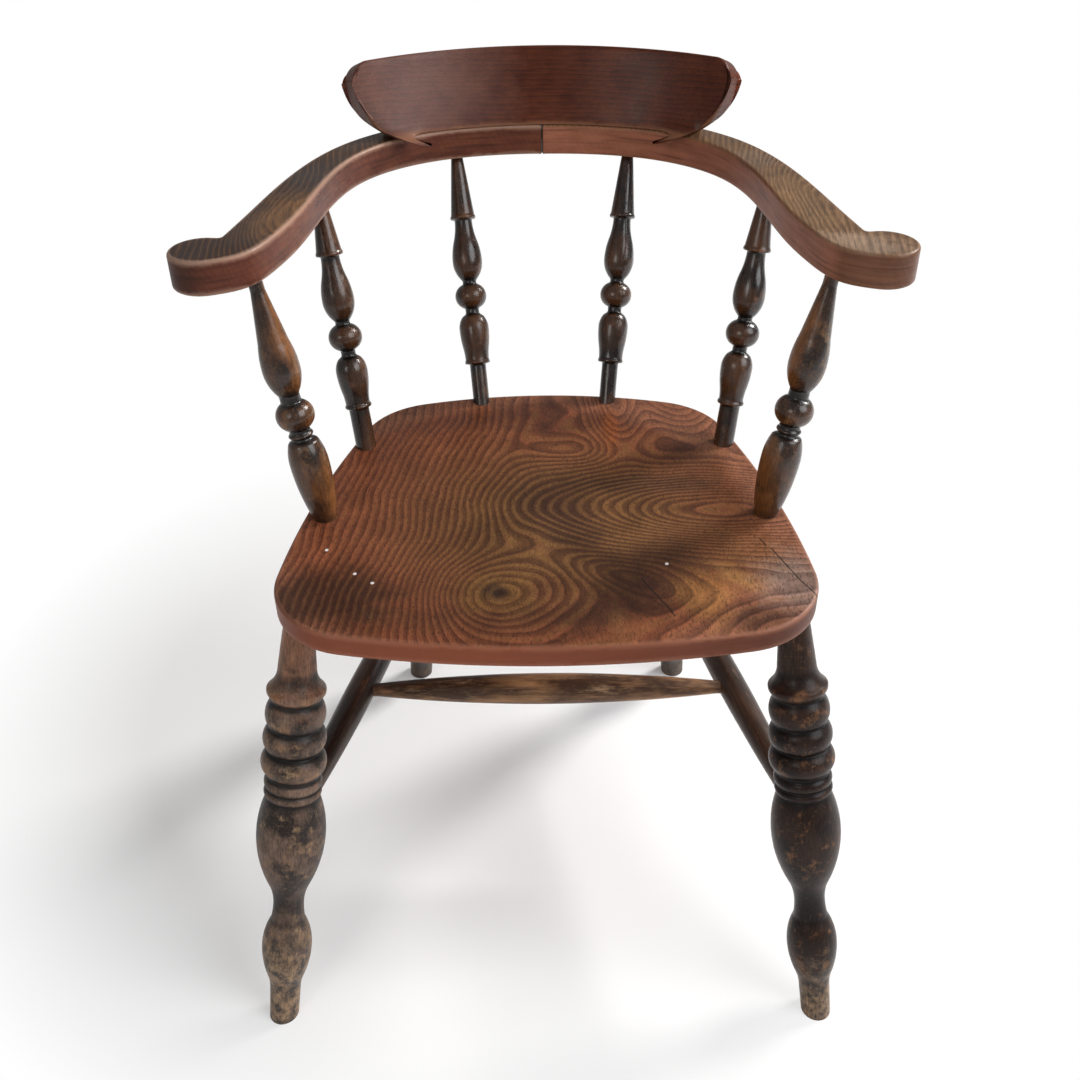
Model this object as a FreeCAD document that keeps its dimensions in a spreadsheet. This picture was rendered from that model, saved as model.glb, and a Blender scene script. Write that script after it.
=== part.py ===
import FreeCAD, Part
import math
import os
import Sketcher

# A smoker's bow captains chair, all of wood: a dished plank seat on four turned legs,
# a sawn bow in two halves on six turned spindles, and a crest rail over their joint.
# Millimetres. X points to the sitter's left, Y from the front to the back, Z up.
# The origin is on the floor, in the middle of the chair's width and depth.

# Driving sizes. Each is written once, here.
DRIVING = {
    # seat plank
    "seat_height": 455,
    "seat_thickness": 34,
    "seat_width": 482,
    "seat_depth": 427,
    "seat_front": 262.5,
    "seat_widest_ahead": 238.5,
    "seat_side_bow": 1050,
    "seat_front_bow": 935,
    "seat_back_bow": 500,
    "seat_front_corner": 80,
    "seat_back_corner": 80,
    "seat_arris": 3,
    "seat_bevel_height": 14,
    "seat_bevel_width": 20,
    "dish_depth": 9,
    "dish_half_width": 192,
    "dish_half_depth": 178,
    "dish_setback": 199,
    "dish_steepness": 60,
    # where the legs enter the seat and how far their feet run out
    "front_leg_inset": 22,
    "front_leg_setback": 80,
    "front_leg_splay": 50,
    "front_leg_rake": 111.5,
    "back_leg_inset": 111,
    "back_leg_setback": 72.5,
    "back_leg_splay": 41,
    "back_leg_rake": 126.5,
    # leg turning: distances are along the leg from the floor
    "foot_dia": 28,
    "foot_top": 32,
    "ankle_dia": 30,
    "bulb_middle": 86,
    "bulb_dia": 48.5,
    "bulb_top": 117,
    "bulb_top_dia": 33,
    "bulb_share": 0.35,
    "neck_at": 136,
    "neck_dia": 29.5,
    "vase_middle": 217,
    "vase_dia": 65,
    "vase_share": 0.30,
    "band_start": 259.5,
    "band_foot_dia": 49,
    "band_dia": 54,
    "band_bead_width": 8,
    "band_lip_width": 11,
    "band_quirk_depth": 2.5,
    "ring_start": 283,
    "ring_width": 25,
    "ring_quirk_dia": 48,
    "low_ring_dia": 61,
    "middle_ring_dia": 58.5,
    "high_ring_dia": 55.5,
    "collar_gap": 2.5,
    "collar_gap_dia": 45,
    "collar_rise": 7,
    "collar_dia": 54,
    "collar_lip": 4,
    "collar_cove": 20,
    "taper_dia": 35,
    "leg_tenon_dia": 26.5,
    "leg_tenon_length": 24,
    # arm posts: distances are along the post from the seat
    "post_inset": 33.2,
    "post_setback_share": 0.45,
    "post_splay": 40.7,
    "post_rake": 29,
    "post_foot_dia": 22,
    "post_low_middle": 57.5,
    "post_low_dia": 36.3,
    "post_low_end": 79,
    "post_low_end_dia": 28,
    "post_neck_start": 82,
    "post_bead_start": 84,
    "post_bead_width": 4,
    "post_neck_dia": 19,
    "post_neck_bead_dia": 23.5,
    "post_ball_start": 92,
    "post_ball_length": 26,
    "post_ball_dia": 35.5,
    "post_waist_dia": 18.5,
    "post_waist_end": 125.5,
    "post_high_middle": 150,
    "post_high_dia": 33.8,
    "post_high_end": 175,
    "post_high_end_dia": 27.5,
    "post_top_at": 222,
    "post_top_dia": 13,
    # ringed spindles: distances are along the spindle from the seat
    "side_inset": 56.3,
    "side_setback_share": 0.752,
    "side_splay": 30.8,
    "side_rake": 65.8,
    "side_foot_dia": 20.5,
    "side_top_dia": 13,
    "back_spread": 68.8,
    "back_setback": 14,
    "back_splay": 22.2,
    "back_rake": 116,
    "back_foot_dia": 17.5,
    "back_top_dia": 11.5,
    "low_ring_at": 40.5,
    "spindle_ring_width": 4.5,
    "spindle_ring_dia": 27.5,
    "low_vase_middle": 79,
    "low_vase_dia": 31.8,
    "low_vase_share": 0.4,
    "low_vase_end": 92,
    "low_vase_end_dia": 23,
    "low_neck_at": 95,
    "spindle_neck_dia": 14.5,
    "ball_start": 100.5,
    "ball_length": 26,
    "ball_dia": 33.5,
    "high_neck_at": 130,
    "high_vase_middle": 150.5,
    "high_vase_dia": 31.8,
    "high_vase_share": 0.5,
    "high_ring_at": 194,
    "high_vase_end_dia": 18.5,
    "post_tenon_length": 20,
    "bow_tenon_length": 17,
    # stretchers
    "stretcher_height": 217,
    "side_rail_end_dia": 21,
    "side_rail_dia": 30,
    "side_rail_plain": 44,
    "side_rail_stop": 8,
    "cross_rail_share": 0.47,
    "cross_rail_end_dia": 14,
    "cross_rail_dia": 33,
    "cross_rail_plain": 19,
    "cross_rail_stop": 1.5,
    # sawn bow
    "arm_rise": 234.5,
    "bow_thickness": 30.5,
    "bow_overhang": 97,
    "bow_flat_share": 0.52,
    "bow_flat_drop": 22,
    "bow_corner_inset": 25.5,
    "bow_corner_drop": 73,
    "bow_back_band": 38,
    "bow_flat_band": 37,
    "bow_corner_band": 34,
    "bow_side_band": 37,
    "arm_band": 45,
    "arm_hollow": 3,
    "arm_straight_share": 0.75,
    "paw_out": 32,
    "paw_ahead": 27.5,
    "paw_radius": 27.5,
    "paw_notch_angle": 112,
    "paw_throat_angle": -108,
    "throat_in": 33.5,
    "throat_ahead": 13.5,
    "paw_notch_radius": 4,
    "bow_arris": 3,
    "halves_gap": 0.3,
    # crest rail
    "crest_height": 74,
    "crest_thickness": 25,
    "crest_radius": 300,
    "crest_lean_angle": 19,
    "crest_half_width": 185.5,
    "crest_flare_angle": 35,
    "crest_end_behind": 20.1,
    "crest_near_view": 14,
    "crest_far_view": 25,
    "crest_front_corner_in": 58,
    "crest_front_corner_up": 58,
    "crest_back_corner_in": 2,
    "crest_back_corner_up": 50,
    "crest_high_corner": 22,
    "crest_arris": 3,
    "crest_spare": 12,
    # dowels and clearance
    "crest_dowel_dia": 8,
    "crest_dowel_reach": 18,
    "crest_dowel_near": 50,
    "crest_dowel_far": 118,
    "bow_dowel_dia": 10,
    "bow_dowel_reach": 24,
    "fit_clearance": 0.15,
    "end_clearance": 0.5,
}

# Sizes worked out from the driving ones, as formulas in the same sheet.
DERIVED = {
    "seat_underside": "seat_height - seat_thickness",
    "seat_back": "seat_depth - seat_front",
    "front_top_x": "seat_width / 2 - front_leg_inset",
    "front_top_y": "front_leg_setback - seat_front",
    "front_foot_x": "front_top_x + front_leg_splay",
    "front_foot_y": "front_top_y - front_leg_rake",
    "back_top_x": "seat_width / 2 - back_leg_inset",
    "back_top_y": "seat_back - back_leg_setback",
    "back_foot_x": "back_top_x + back_leg_splay",
    "back_foot_y": "back_top_y + back_leg_rake",
    "front_leg_length": "sqrt(front_leg_splay ^ 2 + front_leg_rake ^ 2 + seat_underside ^ 2)",
    "back_leg_length": "sqrt(back_leg_splay ^ 2 + back_leg_rake ^ 2 + seat_underside ^ 2)",
    "band_bead_end": "band_start + band_bead_width",
    "band_lip_start": "band_bead_end + band_quirk_depth / 2",
    "band_lip_end": "band_lip_start + band_lip_width",
    "band_quirk_dia": "band_dia - 2 * band_quirk_depth",
    "ring_two": "ring_start + ring_width",
    "ring_three": "ring_two + ring_width",
    "ring_end": "ring_three + ring_width",
    "collar_start": "ring_end + collar_gap",
    "collar_edge": "collar_start + collar_rise",
    "collar_top": "collar_edge + collar_lip",
    "taper_start": "collar_top + collar_cove",
    "post_low_x": "seat_width / 2 - post_inset",
    "post_low_y": "post_setback_share * seat_depth - seat_front",
    "post_high_x": "post_low_x + post_splay",
    "post_high_y": "post_low_y + post_rake",
    "side_low_x": "seat_width / 2 - side_inset",
    "side_low_y": "side_setback_share * seat_depth - seat_front",
    "side_high_x": "side_low_x + side_splay",
    "side_high_y": "side_low_y + side_rake",
    "back_low_x": "1 * back_spread",
    "back_low_y": "seat_back - back_setback",
    "back_high_x": "back_low_x + back_splay",
    "back_high_y": "back_low_y + back_rake",
    "bow_underside": "seat_height + arm_rise",
    "bow_inner_back": "seat_back + bow_overhang",
    "bow_flat_half": "bow_flat_share * side_high_x",
    "post_length": "sqrt(post_splay ^ 2 + post_rake ^ 2 + arm_rise ^ 2)",
    "side_length": "sqrt(side_splay ^ 2 + side_rake ^ 2 + arm_rise ^ 2)",
    "back_length": "sqrt(back_splay ^ 2 + back_rake ^ 2 + arm_rise ^ 2)",
    "tenon_start": "-1 * post_tenon_length",
    "post_tenon_end": "post_length + bow_tenon_length",
    "side_tenon_end": "side_length + bow_tenon_length",
    "back_tenon_end": "back_length + bow_tenon_length",
    "seat_face": "0 * seat_height",
    "post_bead_end": "post_bead_start + post_bead_width",
    "post_ball_end": "post_ball_start + post_ball_length",
    "low_ring_end": "low_ring_at + spindle_ring_width",
    "high_ring_end": "high_ring_at + spindle_ring_width",
    "ball_end": "ball_start + ball_length",
    "bow_top": "bow_underside + bow_thickness",
    "foot_base": "-1 * foot_dia / 2",
    "front_leg_end": "front_leg_length + leg_tenon_length",
    "back_leg_end": "back_leg_length + leg_tenon_length",
    "rail_share": "stretcher_height / seat_underside",
    "front_rail_x": "front_foot_x + (front_top_x - front_foot_x) * rail_share",
    "front_rail_y": "front_foot_y + (front_top_y - front_foot_y) * rail_share",
    "back_rail_x": "back_foot_x + (back_top_x - back_foot_x) * rail_share",
    "back_rail_y": "back_foot_y + (back_top_y - back_foot_y) * rail_share",
    "side_rail_span": "sqrt((front_rail_x - back_rail_x) ^ 2 + (front_rail_y - back_rail_y) ^ 2)",
    "side_rail_middle": "side_rail_span / 2",
    "side_rail_far_plain": "side_rail_span - side_rail_plain",
    "side_rail_far_end": "side_rail_span - side_rail_stop",
    "cross_rail_middle": "front_rail_x + (back_rail_x - front_rail_x) * cross_rail_share",
    "cross_rail_far_plain": "2 * cross_rail_middle - cross_rail_plain",
    "cross_rail_far_end": "2 * cross_rail_middle - cross_rail_stop",
    "crest_back_radius": "crest_radius + crest_thickness",
    "crest_end_sagitta": "crest_radius - sqrt(crest_radius ^ 2 - crest_half_width ^ 2)",
    "crest_end_depth": "bow_inner_back - crest_end_sagitta + crest_end_behind",
    "crest_outline_top": "crest_height + crest_spare",
    "crest_cap_height": "crest_outline_top + crest_radius * tan(crest_lean_angle)",
    "crest_dowel_length": "2 * crest_dowel_reach",
    "bow_dowel_length": "2 * bow_dowel_reach",
}

doc = FreeCAD.newDocument("captains_chair")
sheet = doc.addObject("Spreadsheet::Sheet", "Sizes")
for row, (name, amount) in enumerate(DRIVING.items(), start=1):
    sheet.set("A%d" % row, name)
    sheet.set("B%d" % row, str(amount))
    sheet.setAlias("B%d" % row, name)
for row, (name, formula) in enumerate(DERIVED.items(), start=1):
    sheet.set("D%d" % row, name)
    sheet.set("E%d" % row, "=" + formula)
    sheet.setAlias("E%d" % row, name)
doc.recompute()

UP = FreeCAD.Vector(0, 0, 1)
ALONG_X = FreeCAD.Vector(1, 0, 0)
pieces = []


def mm(name):
    """The sheet's value of one named size."""
    return float(sheet.get(name))


def new_body(label):
    """An empty body for one piece of the chair, listed for writing out."""
    body = doc.addObject("PartDesign::Body", label)
    body.Label = label
    pieces.append(body)
    return body


def origin_plane(body, role):
    """One of the body's own origin planes or axes, by its role."""
    for feature in body.Origin.OriginFeatures:
        if feature.Role == role:
            return feature
    raise RuntimeError("no " + role)


def new_sketch(body, name, role, offset=0):
    """A sketch flat on one of the body's origin planes, moved off it along its normal."""
    sketch = body.newObject("Sketcher::SketchObject", name)
    sketch.AttachmentSupport = (origin_plane(body, role), [""])
    sketch.MapMode = "FlatFace"
    sketch.AttachmentOffset = FreeCAD.Placement(UP * offset, FreeCAD.Rotation())
    return sketch


def bind(sketch, kind, targets, number, formula):
    """Add a constraint with its starting number, then bind it to the sheet."""
    index = sketch.addConstraint(Sketcher.Constraint(kind, *targets, number))
    sketch.setExpression("Constraints[%d]" % index, formula)


def arc_about(centre, start, end):
    """The shorter arc about a centre, and its end numbers at start and at end.

    A sketch counts every arc anticlockwise, so a clockwise one is entered from its end.
    """
    first = math.atan2(start.y - centre.y, start.x - centre.x)
    second = math.atan2(end.y - centre.y, end.x - centre.x)
    circle = Part.Circle(centre, UP, (start - centre).Length)
    if (second - first) % (2 * math.pi) < math.pi:
        return Part.ArcOfCircle(circle, first, second), (1, 2)
    return Part.ArcOfCircle(circle, second, first), (2, 1)


def hump_centre(start, end, middle_x):
    """Centre of the arc over a stretch level with the axis, through its middle."""
    half = (end.y - start.y) / 2
    rise = middle_x - start.x
    radius = (half ** 2 + rise ** 2) / (2 * rise)
    return FreeCAD.Vector(middle_x - radius, start.y + half, 0)


def level_centre(level, other):
    """Centre of the arc that runs along the axis at one point and passes another."""
    across = other.x - level.x
    along = other.y - level.y
    reach = (across ** 2 + along ** 2) / (2 * across)
    return FreeCAD.Vector(level.x + reach, level.y, 0)


def turn(body, name, marks):
    """Revolve a turned profile about the body's Z axis.

    marks: (stretch, distance, diameter), from one end to the other, all names in the sheet.
    A straight stretch is a line. A leaving or meeting stretch is an arc that runs along
    the axis at its start or its end. A hump is an arc with both ends at one distance
    from the axis, and its fourth name is the diameter at its middle. An ogee is a
    leaving arc and a meeting arc, and its fourth name is the share of the first.
    """
    sketch = new_sketch(body, name + "_profile", "XZ_Plane")
    points = []
    formulas = []
    edges = []
    for stretch, along, dia, *extra in marks:
        point = FreeCAD.Vector(mm(dia) / 2, mm(along), 0)
        formula = ("Sizes.%s / 2" % dia, "Sizes.%s" % along)
        if stretch == "ogee":
            share = mm(extra[0])
            last = points[-1]
            last_x, last_y = formulas[-1]
            between = last + (point - last) * share
            points.append(between)
            blend = "%s + (%s - (%s)) * Sizes." + extra[0]
            formulas.append((blend % (last_x, formula[0], last_x), blend % (last_y, formula[1], last_y)))
            edges.append(("leaving", None))
            stretch = "meeting"
        points.append(point)
        formulas.append(formula)
        edges.append((stretch, extra[0] if stretch == "hump" else None))
    edges = edges[1:]

    first = FreeCAD.Vector(0, points[0].y, 0)
    last = FreeCAD.Vector(0, points[-1].y, 0)
    sketch.addGeometry(Part.LineSegment(first, points[0]))
    ends = []
    for index, (stretch, middle) in enumerate(edges):
        start = points[index]
        end = points[index + 1]
        if stretch == "straight":
            edge, order = Part.LineSegment(start, end), (1, 2)
        elif stretch == "leaving":
            edge, order = arc_about(level_centre(start, end), start, end)
        elif stretch == "meeting":
            edge, order = arc_about(level_centre(end, start), start, end)
        else:
            edge, order = arc_about(hump_centre(start, end, mm(middle) / 2), start, end)
        sketch.addGeometry(edge)
        ends.append(order)
    sketch.addGeometry(Part.LineSegment(points[-1], last))
    sketch.addGeometry(Part.LineSegment(last, first))

    closing = len(edges) + 1
    axis_line = closing + 1
    sketch.addConstraint(Sketcher.Constraint("Coincident", 0, 2, 1, ends[0][0]))
    for index in range(1, closing - 1):
        join = Sketcher.Constraint("Coincident", index, ends[index - 1][1], index + 1, ends[index][0])
        sketch.addConstraint(join)
    sketch.addConstraint(Sketcher.Constraint("Coincident", closing - 1, ends[-1][1], closing, 1))
    sketch.addConstraint(Sketcher.Constraint("Coincident", closing, 2, axis_line, 1))
    sketch.addConstraint(Sketcher.Constraint("Coincident", axis_line, 2, 0, 1))
    sketch.addConstraint(Sketcher.Constraint("Horizontal", 0))
    sketch.addConstraint(Sketcher.Constraint("Horizontal", closing))
    sketch.addConstraint(Sketcher.Constraint("PointOnObject", 0, 1, -2))
    sketch.addConstraint(Sketcher.Constraint("PointOnObject", closing, 2, -2))
    for index, (across, along) in enumerate(formulas):
        spot = (0, 2) if index == 0 else (index, ends[index - 1][1])
        bind(sketch, "DistanceX", (-1, 1) + spot, points[index].x, across)
        bind(sketch, "DistanceY", (-1, 1) + spot, points[index].y, along)
    for index, (stretch, middle) in enumerate(edges, start=1):
        if stretch == "leaving":
            sketch.addConstraint(Sketcher.Constraint("Horizontal", index, 3, index, ends[index - 1][0]))
        elif stretch == "meeting":
            sketch.addConstraint(Sketcher.Constraint("Horizontal", index, 3, index, ends[index - 1][1]))
        elif stretch == "hump":
            across, along = formulas[index]
            half = "((%s - (%s)) / 2)" % (along, formulas[index - 1][1])
            rise = "abs(Sizes.%s / 2 - %s)" % (middle, across)
            radius = "(%s ^ 2 + %s ^ 2) / (2 * %s)" % (half, rise, rise)
            bind(sketch, "Radius", (index,), sketch.Geometry[index].Radius, radius)

    revolution = body.newObject("PartDesign::Revolution", name + "_turning")
    revolution.Profile = sketch
    revolution.ReferenceAxis = (sketch, ["V_Axis"])
    revolution.Angle = 360
    sketch.Visibility = False
    doc.recompute()
    return revolution


def aimed(start, end):
    """Placement at start, with Z pointing to end."""
    return FreeCAD.Placement(start, FreeCAD.Rotation(UP, end - start))


def drill(body, name, place, dia, length, clearance="fit_clearance"):
    """A round blind hole from the placement's origin along its Z axis, wider than its pin."""
    hole = body.newObject("PartDesign::SubtractiveCylinder", name)
    hole.Placement = body.Placement.inverse() * place
    hole.setExpression("Radius", "Sizes.%s / 2 + Sizes.%s" % (dia, clearance))
    hole.setExpression("Height", length)
    doc.recompute()
    return hole


def spot(side, name, height):
    """A point of the left or right half, from the sheet's X and Y of that name."""
    return FreeCAD.Vector(side * mm(name + "_x"), mm(name + "_y"), mm(height) if height else 0)


# Axes of the legs, spindles and rails, one for each side of the chair.
SIDES = {"left": 1, "right": -1}


def leg_axis(side, which):
    return spot(side, which + "_foot", None), spot(side, which + "_top", "seat_underside")


def spindle_axis(side, which):
    return spot(side, which + "_low", "seat_height"), spot(side, which + "_high", "bow_underside")


def rail_point(side, which):
    """Where a leg's axis passes the height of the side stretchers."""
    foot, top = leg_axis(side, which)
    return foot + (top - foot) * (mm("stretcher_height") / mm("seat_underside"))


def rail_axis(side):
    return rail_point(side, "front"), rail_point(side, "back")


def cross_point(side):
    front, back = rail_axis(side)
    return front + (back - front) * mm("cross_rail_share")


# Legs: one turning pattern, with a longer taper where the back leg needs it.
def leg_marks(which):
    return [
        ("start", "foot_base", "foot_dia"),
        ("straight", "foot_top", "ankle_dia"),
        ("ogee", "bulb_middle", "bulb_dia", "bulb_share"),
        ("leaving", "bulb_top", "bulb_top_dia"),
        ("meeting", "neck_at", "neck_dia"),
        ("ogee", "vase_middle", "vase_dia", "vase_share"),
        ("leaving", "band_start", "band_foot_dia"),
        ("hump", "band_bead_end", "band_foot_dia", "band_dia"),
        ("straight", "band_lip_start", "band_quirk_dia"),
        ("hump", "band_lip_end", "band_quirk_dia", "band_dia"),
        ("straight", "ring_start", "ring_quirk_dia"),
        ("hump", "ring_two", "ring_quirk_dia", "low_ring_dia"),
        ("hump", "ring_three", "ring_quirk_dia", "middle_ring_dia"),
        ("hump", "ring_end", "ring_quirk_dia", "high_ring_dia"),
        ("straight", "collar_start", "collar_gap_dia"),
        ("straight", "collar_edge", "collar_dia"),
        ("straight", "collar_top", "collar_dia"),
        ("meeting", "taper_start", "taper_dia"),
        ("straight", which + "_leg_length", "leg_tenon_dia"),
        ("straight", which + "_leg_end", "leg_tenon_dia"),
    ]


def build_leg(label, side, which):
    body = new_body(label)
    foot, top = leg_axis(side, which)
    turn(body, label, leg_marks(which))
    body.Placement = aimed(foot, top)
    sole = body.newObject("PartDesign::SubtractiveBox", label + "_sole")
    under = FreeCAD.Vector(foot.x - mm("vase_dia") / 2, foot.y - mm("vase_dia") / 2, -mm("vase_dia"))
    sole.Placement = body.Placement.inverse() * FreeCAD.Placement(under, FreeCAD.Rotation())
    for edge in ("Length", "Width", "Height"):
        sole.setExpression(edge, "Sizes.vase_dia")
    front, back = rail_axis(side)
    start, end = (front, back) if which == "front" else (back, front)
    place = aimed(start, end)
    place.Base = place.Base + (end - start).normalize() * (mm("side_rail_stop") - mm("end_clearance"))
    drill(body, label + "_rail_hole", place, "side_rail_end_dia", "Sizes.vase_dia")
    return body


# Arm posts and ringed spindles.
POST_MARKS = [
    ("start", "tenon_start", "post_foot_dia"),
    ("straight", "seat_face", "post_foot_dia"),
    ("meeting", "post_low_middle", "post_low_dia"),
    ("leaving", "post_low_end", "post_low_end_dia"),
    ("straight", "post_neck_start", "post_neck_dia"),
    ("straight", "post_bead_start", "post_neck_dia"),
    ("hump", "post_bead_end", "post_neck_dia", "post_neck_bead_dia"),
    ("straight", "post_ball_start", "post_neck_dia"),
    ("hump", "post_ball_end", "post_neck_dia", "post_ball_dia"),
    ("straight", "post_waist_end", "post_waist_dia"),
    ("meeting", "post_high_middle", "post_high_dia"),
    ("leaving", "post_high_end", "post_high_end_dia"),
    ("straight", "post_top_at", "post_top_dia"),
    ("straight", "post_tenon_end", "post_top_dia"),
]


def spindle_marks(which):
    return [
        ("start", "tenon_start", which + "_foot_dia"),
        ("straight", "seat_face", which + "_foot_dia"),
        ("straight", "low_ring_at", which + "_foot_dia"),
        ("hump", "low_ring_end", which + "_foot_dia", "spindle_ring_dia"),
        ("ogee", "low_vase_middle", "low_vase_dia", "low_vase_share"),
        ("leaving", "low_vase_end", "low_vase_end_dia"),
        ("straight", "low_neck_at", "spindle_neck_dia"),
        ("straight", "ball_start", "spindle_neck_dia"),
        ("hump", "ball_end", "spindle_neck_dia", "ball_dia"),
        ("straight", "high_neck_at", "spindle_neck_dia"),
        ("meeting", "high_vase_middle", "high_vase_dia"),
        ("ogee", "high_ring_at", "high_vase_end_dia", "high_vase_share"),
        ("hump", "high_ring_end", "high_vase_end_dia", "spindle_ring_dia"),
        ("straight", which + "_length", which + "_top_dia"),
        ("straight", which + "_tenon_end", which + "_top_dia"),
    ]


def build_spindle(label, side, which):
    body = new_body(label)
    turn(body, label, POST_MARKS if which == "post" else spindle_marks(which))
    body.Placement = aimed(*spindle_axis(side, which))
    return body


# Stretchers: plain round ends, swelling to the middle.
def build_stretcher(label, kind, start, end):
    """A swelled rail whose ends stop short of the two points that it joins."""
    body = new_body(label)
    marks = [
        ("start", kind + "_stop", kind + "_end_dia"),
        ("straight", kind + "_plain", kind + "_end_dia"),
        ("meeting", kind + "_middle", kind + "_dia"),
        ("leaving", kind + "_far_plain", kind + "_end_dia"),
        ("straight", kind + "_far_end", kind + "_end_dia"),
    ]
    turn(body, label, marks)
    body.Placement = aimed(start, end)
    return body


def build_side_rail(label, side):
    body = build_stretcher(label, "side_rail", *rail_axis(side))
    start = cross_point(side)
    end = cross_point(-side)
    place = aimed(start, end)
    place.Base = place.Base + (end - start).normalize() * (mm("cross_rail_stop") - mm("end_clearance"))
    drill(body, label + "_cross_hole", place, "cross_rail_end_dia", "Sizes.side_rail_dia")
    return body


# Seat plank.
def corner_edges(shape):
    """The plank's upright corner edges, front pair and back pair."""
    front, back = [], []
    for number, edge in enumerate(shape.Edges, start=1):
        if abs(edge.Vertexes[0].Z - edge.Vertexes[-1].Z) > mm("seat_thickness") / 2:
            pair = front if edge.CenterOfMass.y < 0 else back
            pair.append("Edge%d" % number)
    return front, back


def rim_edges(shape, level):
    """Names of the edges that lie wholly at one height."""
    names = []
    for number, edge in enumerate(shape.Edges, start=1):
        farthest = max(abs(edge.BoundBox.ZMin - level), abs(edge.BoundBox.ZMax - level))
        if farthest < mm("fit_clearance"):
            names.append("Edge%d" % number)
    return names


def build_seat():
    body = new_body("seat")
    sketch = new_sketch(body, "seat_outline", "XY_Plane")
    half = mm("seat_width") / 2
    side_radius = mm("seat_side_bow")
    front_radius = mm("seat_front_bow")
    back_radius = mm("seat_back_bow")
    side_centre = FreeCAD.Vector(half - side_radius, -mm("seat_widest_ahead"), 0)
    front_centre = FreeCAD.Vector(0, front_radius - mm("seat_front"), 0)
    back_centre = FreeCAD.Vector(0, mm("seat_back") - back_radius, 0)

    def meet(centre, radius):
        """Where the right side's arc meets the front or the back arc."""
        side = Part.Circle(side_centre, UP, side_radius)
        points = side.intersect(Part.Circle(centre, UP, radius))
        best = max(points, key=lambda point: point.X)
        return FreeCAD.Vector(best.X, best.Y, 0)

    def mirrored(point):
        return FreeCAD.Vector(-point.x, point.y, 0)

    front_corner = meet(front_centre, front_radius)
    back_corner = meet(back_centre, back_radius)
    left_centre = mirrored(side_centre)
    arcs = [
        (front_centre, mirrored(front_corner), front_corner),
        (side_centre, front_corner, back_corner),
        (back_centre, back_corner, mirrored(back_corner)),
        (left_centre, mirrored(back_corner), mirrored(front_corner)),
    ]
    for centre, start, end in arcs:
        sketch.addGeometry(arc_about(centre, start, end)[0])
    for index in range(4):
        sketch.addConstraint(Sketcher.Constraint("Coincident", index, 2, (index + 1) % 4, 1))
    reach = "Sizes.seat_width / 2 - Sizes.seat_side_bow"
    centres = [
        ("0", "Sizes.seat_front_bow - Sizes.seat_front"),
        (reach, "-1 * Sizes.seat_widest_ahead"),
        ("0", "Sizes.seat_back - Sizes.seat_back_bow"),
        ("-1 * (%s)" % reach, "-1 * Sizes.seat_widest_ahead"),
    ]
    radii = ["seat_front_bow", "seat_side_bow", "seat_back_bow", "seat_side_bow"]
    for index, (across, along) in enumerate(centres):
        if across == "0":
            sketch.addConstraint(Sketcher.Constraint("PointOnObject", index, 3, -2))
        else:
            bind(sketch, "DistanceX", (-1, 1, index, 3), arcs[index][0].x, across)
        bind(sketch, "DistanceY", (-1, 1, index, 3), arcs[index][0].y, along)
        bind(sketch, "Radius", (index,), mm(radii[index]), "Sizes." + radii[index])

    plank = body.newObject("PartDesign::Pad", "seat_plank")
    plank.Profile = sketch
    plank.setExpression("Length", "Sizes.seat_thickness")
    doc.recompute()
    base = plank
    for name, pair in (("front", 0), ("back", 1)):
        rounding = body.newObject("PartDesign::Fillet", "seat_%s_corners" % name)
        rounding.Base = (base, corner_edges(base.Shape)[pair])
        rounding.setExpression("Radius", "Sizes.seat_%s_corner" % name)
        doc.recompute()
        base = rounding

    arris = body.newObject("PartDesign::Fillet", "seat_top_arris")
    arris.Base = (base, rim_edges(base.Shape, mm("seat_thickness")))
    arris.setExpression("Radius", "Sizes.seat_arris")
    doc.recompute()
    bevel = body.newObject("PartDesign::Chamfer", "seat_under_bevel")
    bevel.Base = (arris, rim_edges(arris.Shape, 0))
    bevel.ChamferType = "Two distances"
    bevel.setExpression("Size", "Sizes.seat_bevel_width")
    bevel.setExpression("Size2", "Sizes.seat_bevel_height")
    doc.recompute()

    # The dish is the low cap of an ellipsoid, so its edge fades into the flat rim.
    dish = body.newObject("PartDesign::SubtractiveEllipsoid", "seat_dish")
    rise = mm("seat_thickness") - mm("dish_depth") + mm("dish_steepness")
    dish.Placement = FreeCAD.Placement(
        FreeCAD.Vector(0, mm("dish_setback") - mm("seat_front"), rise), FreeCAD.Rotation())
    spread = "sqrt(1 - (1 - Sizes.dish_depth / Sizes.dish_steepness) ^ 2)"
    dish.setExpression("Radius1", "Sizes.dish_steepness")
    dish.setExpression("Radius2", "Sizes.dish_half_width / " + spread)
    dish.setExpression("Radius3", "Sizes.dish_half_depth / " + spread)
    doc.recompute()

    body.Placement = FreeCAD.Placement(UP * mm("seat_underside"), FreeCAD.Rotation())
    for name, side in SIDES.items():
        for which in ("front", "back"):
            foot, top = leg_axis(side, which)
            up = (top - foot).normalize()
            start = top + up * (mm("leg_tenon_length") + mm("end_clearance"))
            drill(body, "%s_%s_leg_socket" % (name, which), aimed(start, foot),
                  "leg_tenon_dia", "Sizes.leg_tenon_length * 2")
        for which in ("post", "side", "back"):
            low, high = spindle_axis(side, which)
            down = (low - high).normalize()
            start = low + down * (mm("post_tenon_length") + mm("end_clearance"))
            drill(body, "%s_%s_socket" % (name, which), aimed(start, high),
                  which + "_foot_dia", "Sizes.post_tenon_length * 2")
    return body


# Sawn bow: two mirrored halves, cut from flat board to one outline.
def at(across, along):
    return FreeCAD.Vector(across, along, 0)


def smooth(points, tangents):
    """A spline through points, with headings given at some of them by index."""
    headings = [tangents.get(index, ALONG_X) for index in range(len(points))]
    flags = [index in tangents for index in range(len(points))]
    curve = Part.BSplineCurve()
    curve.interpolate(Points=points, Tangents=headings, TangentFlags=flags)
    return curve


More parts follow.
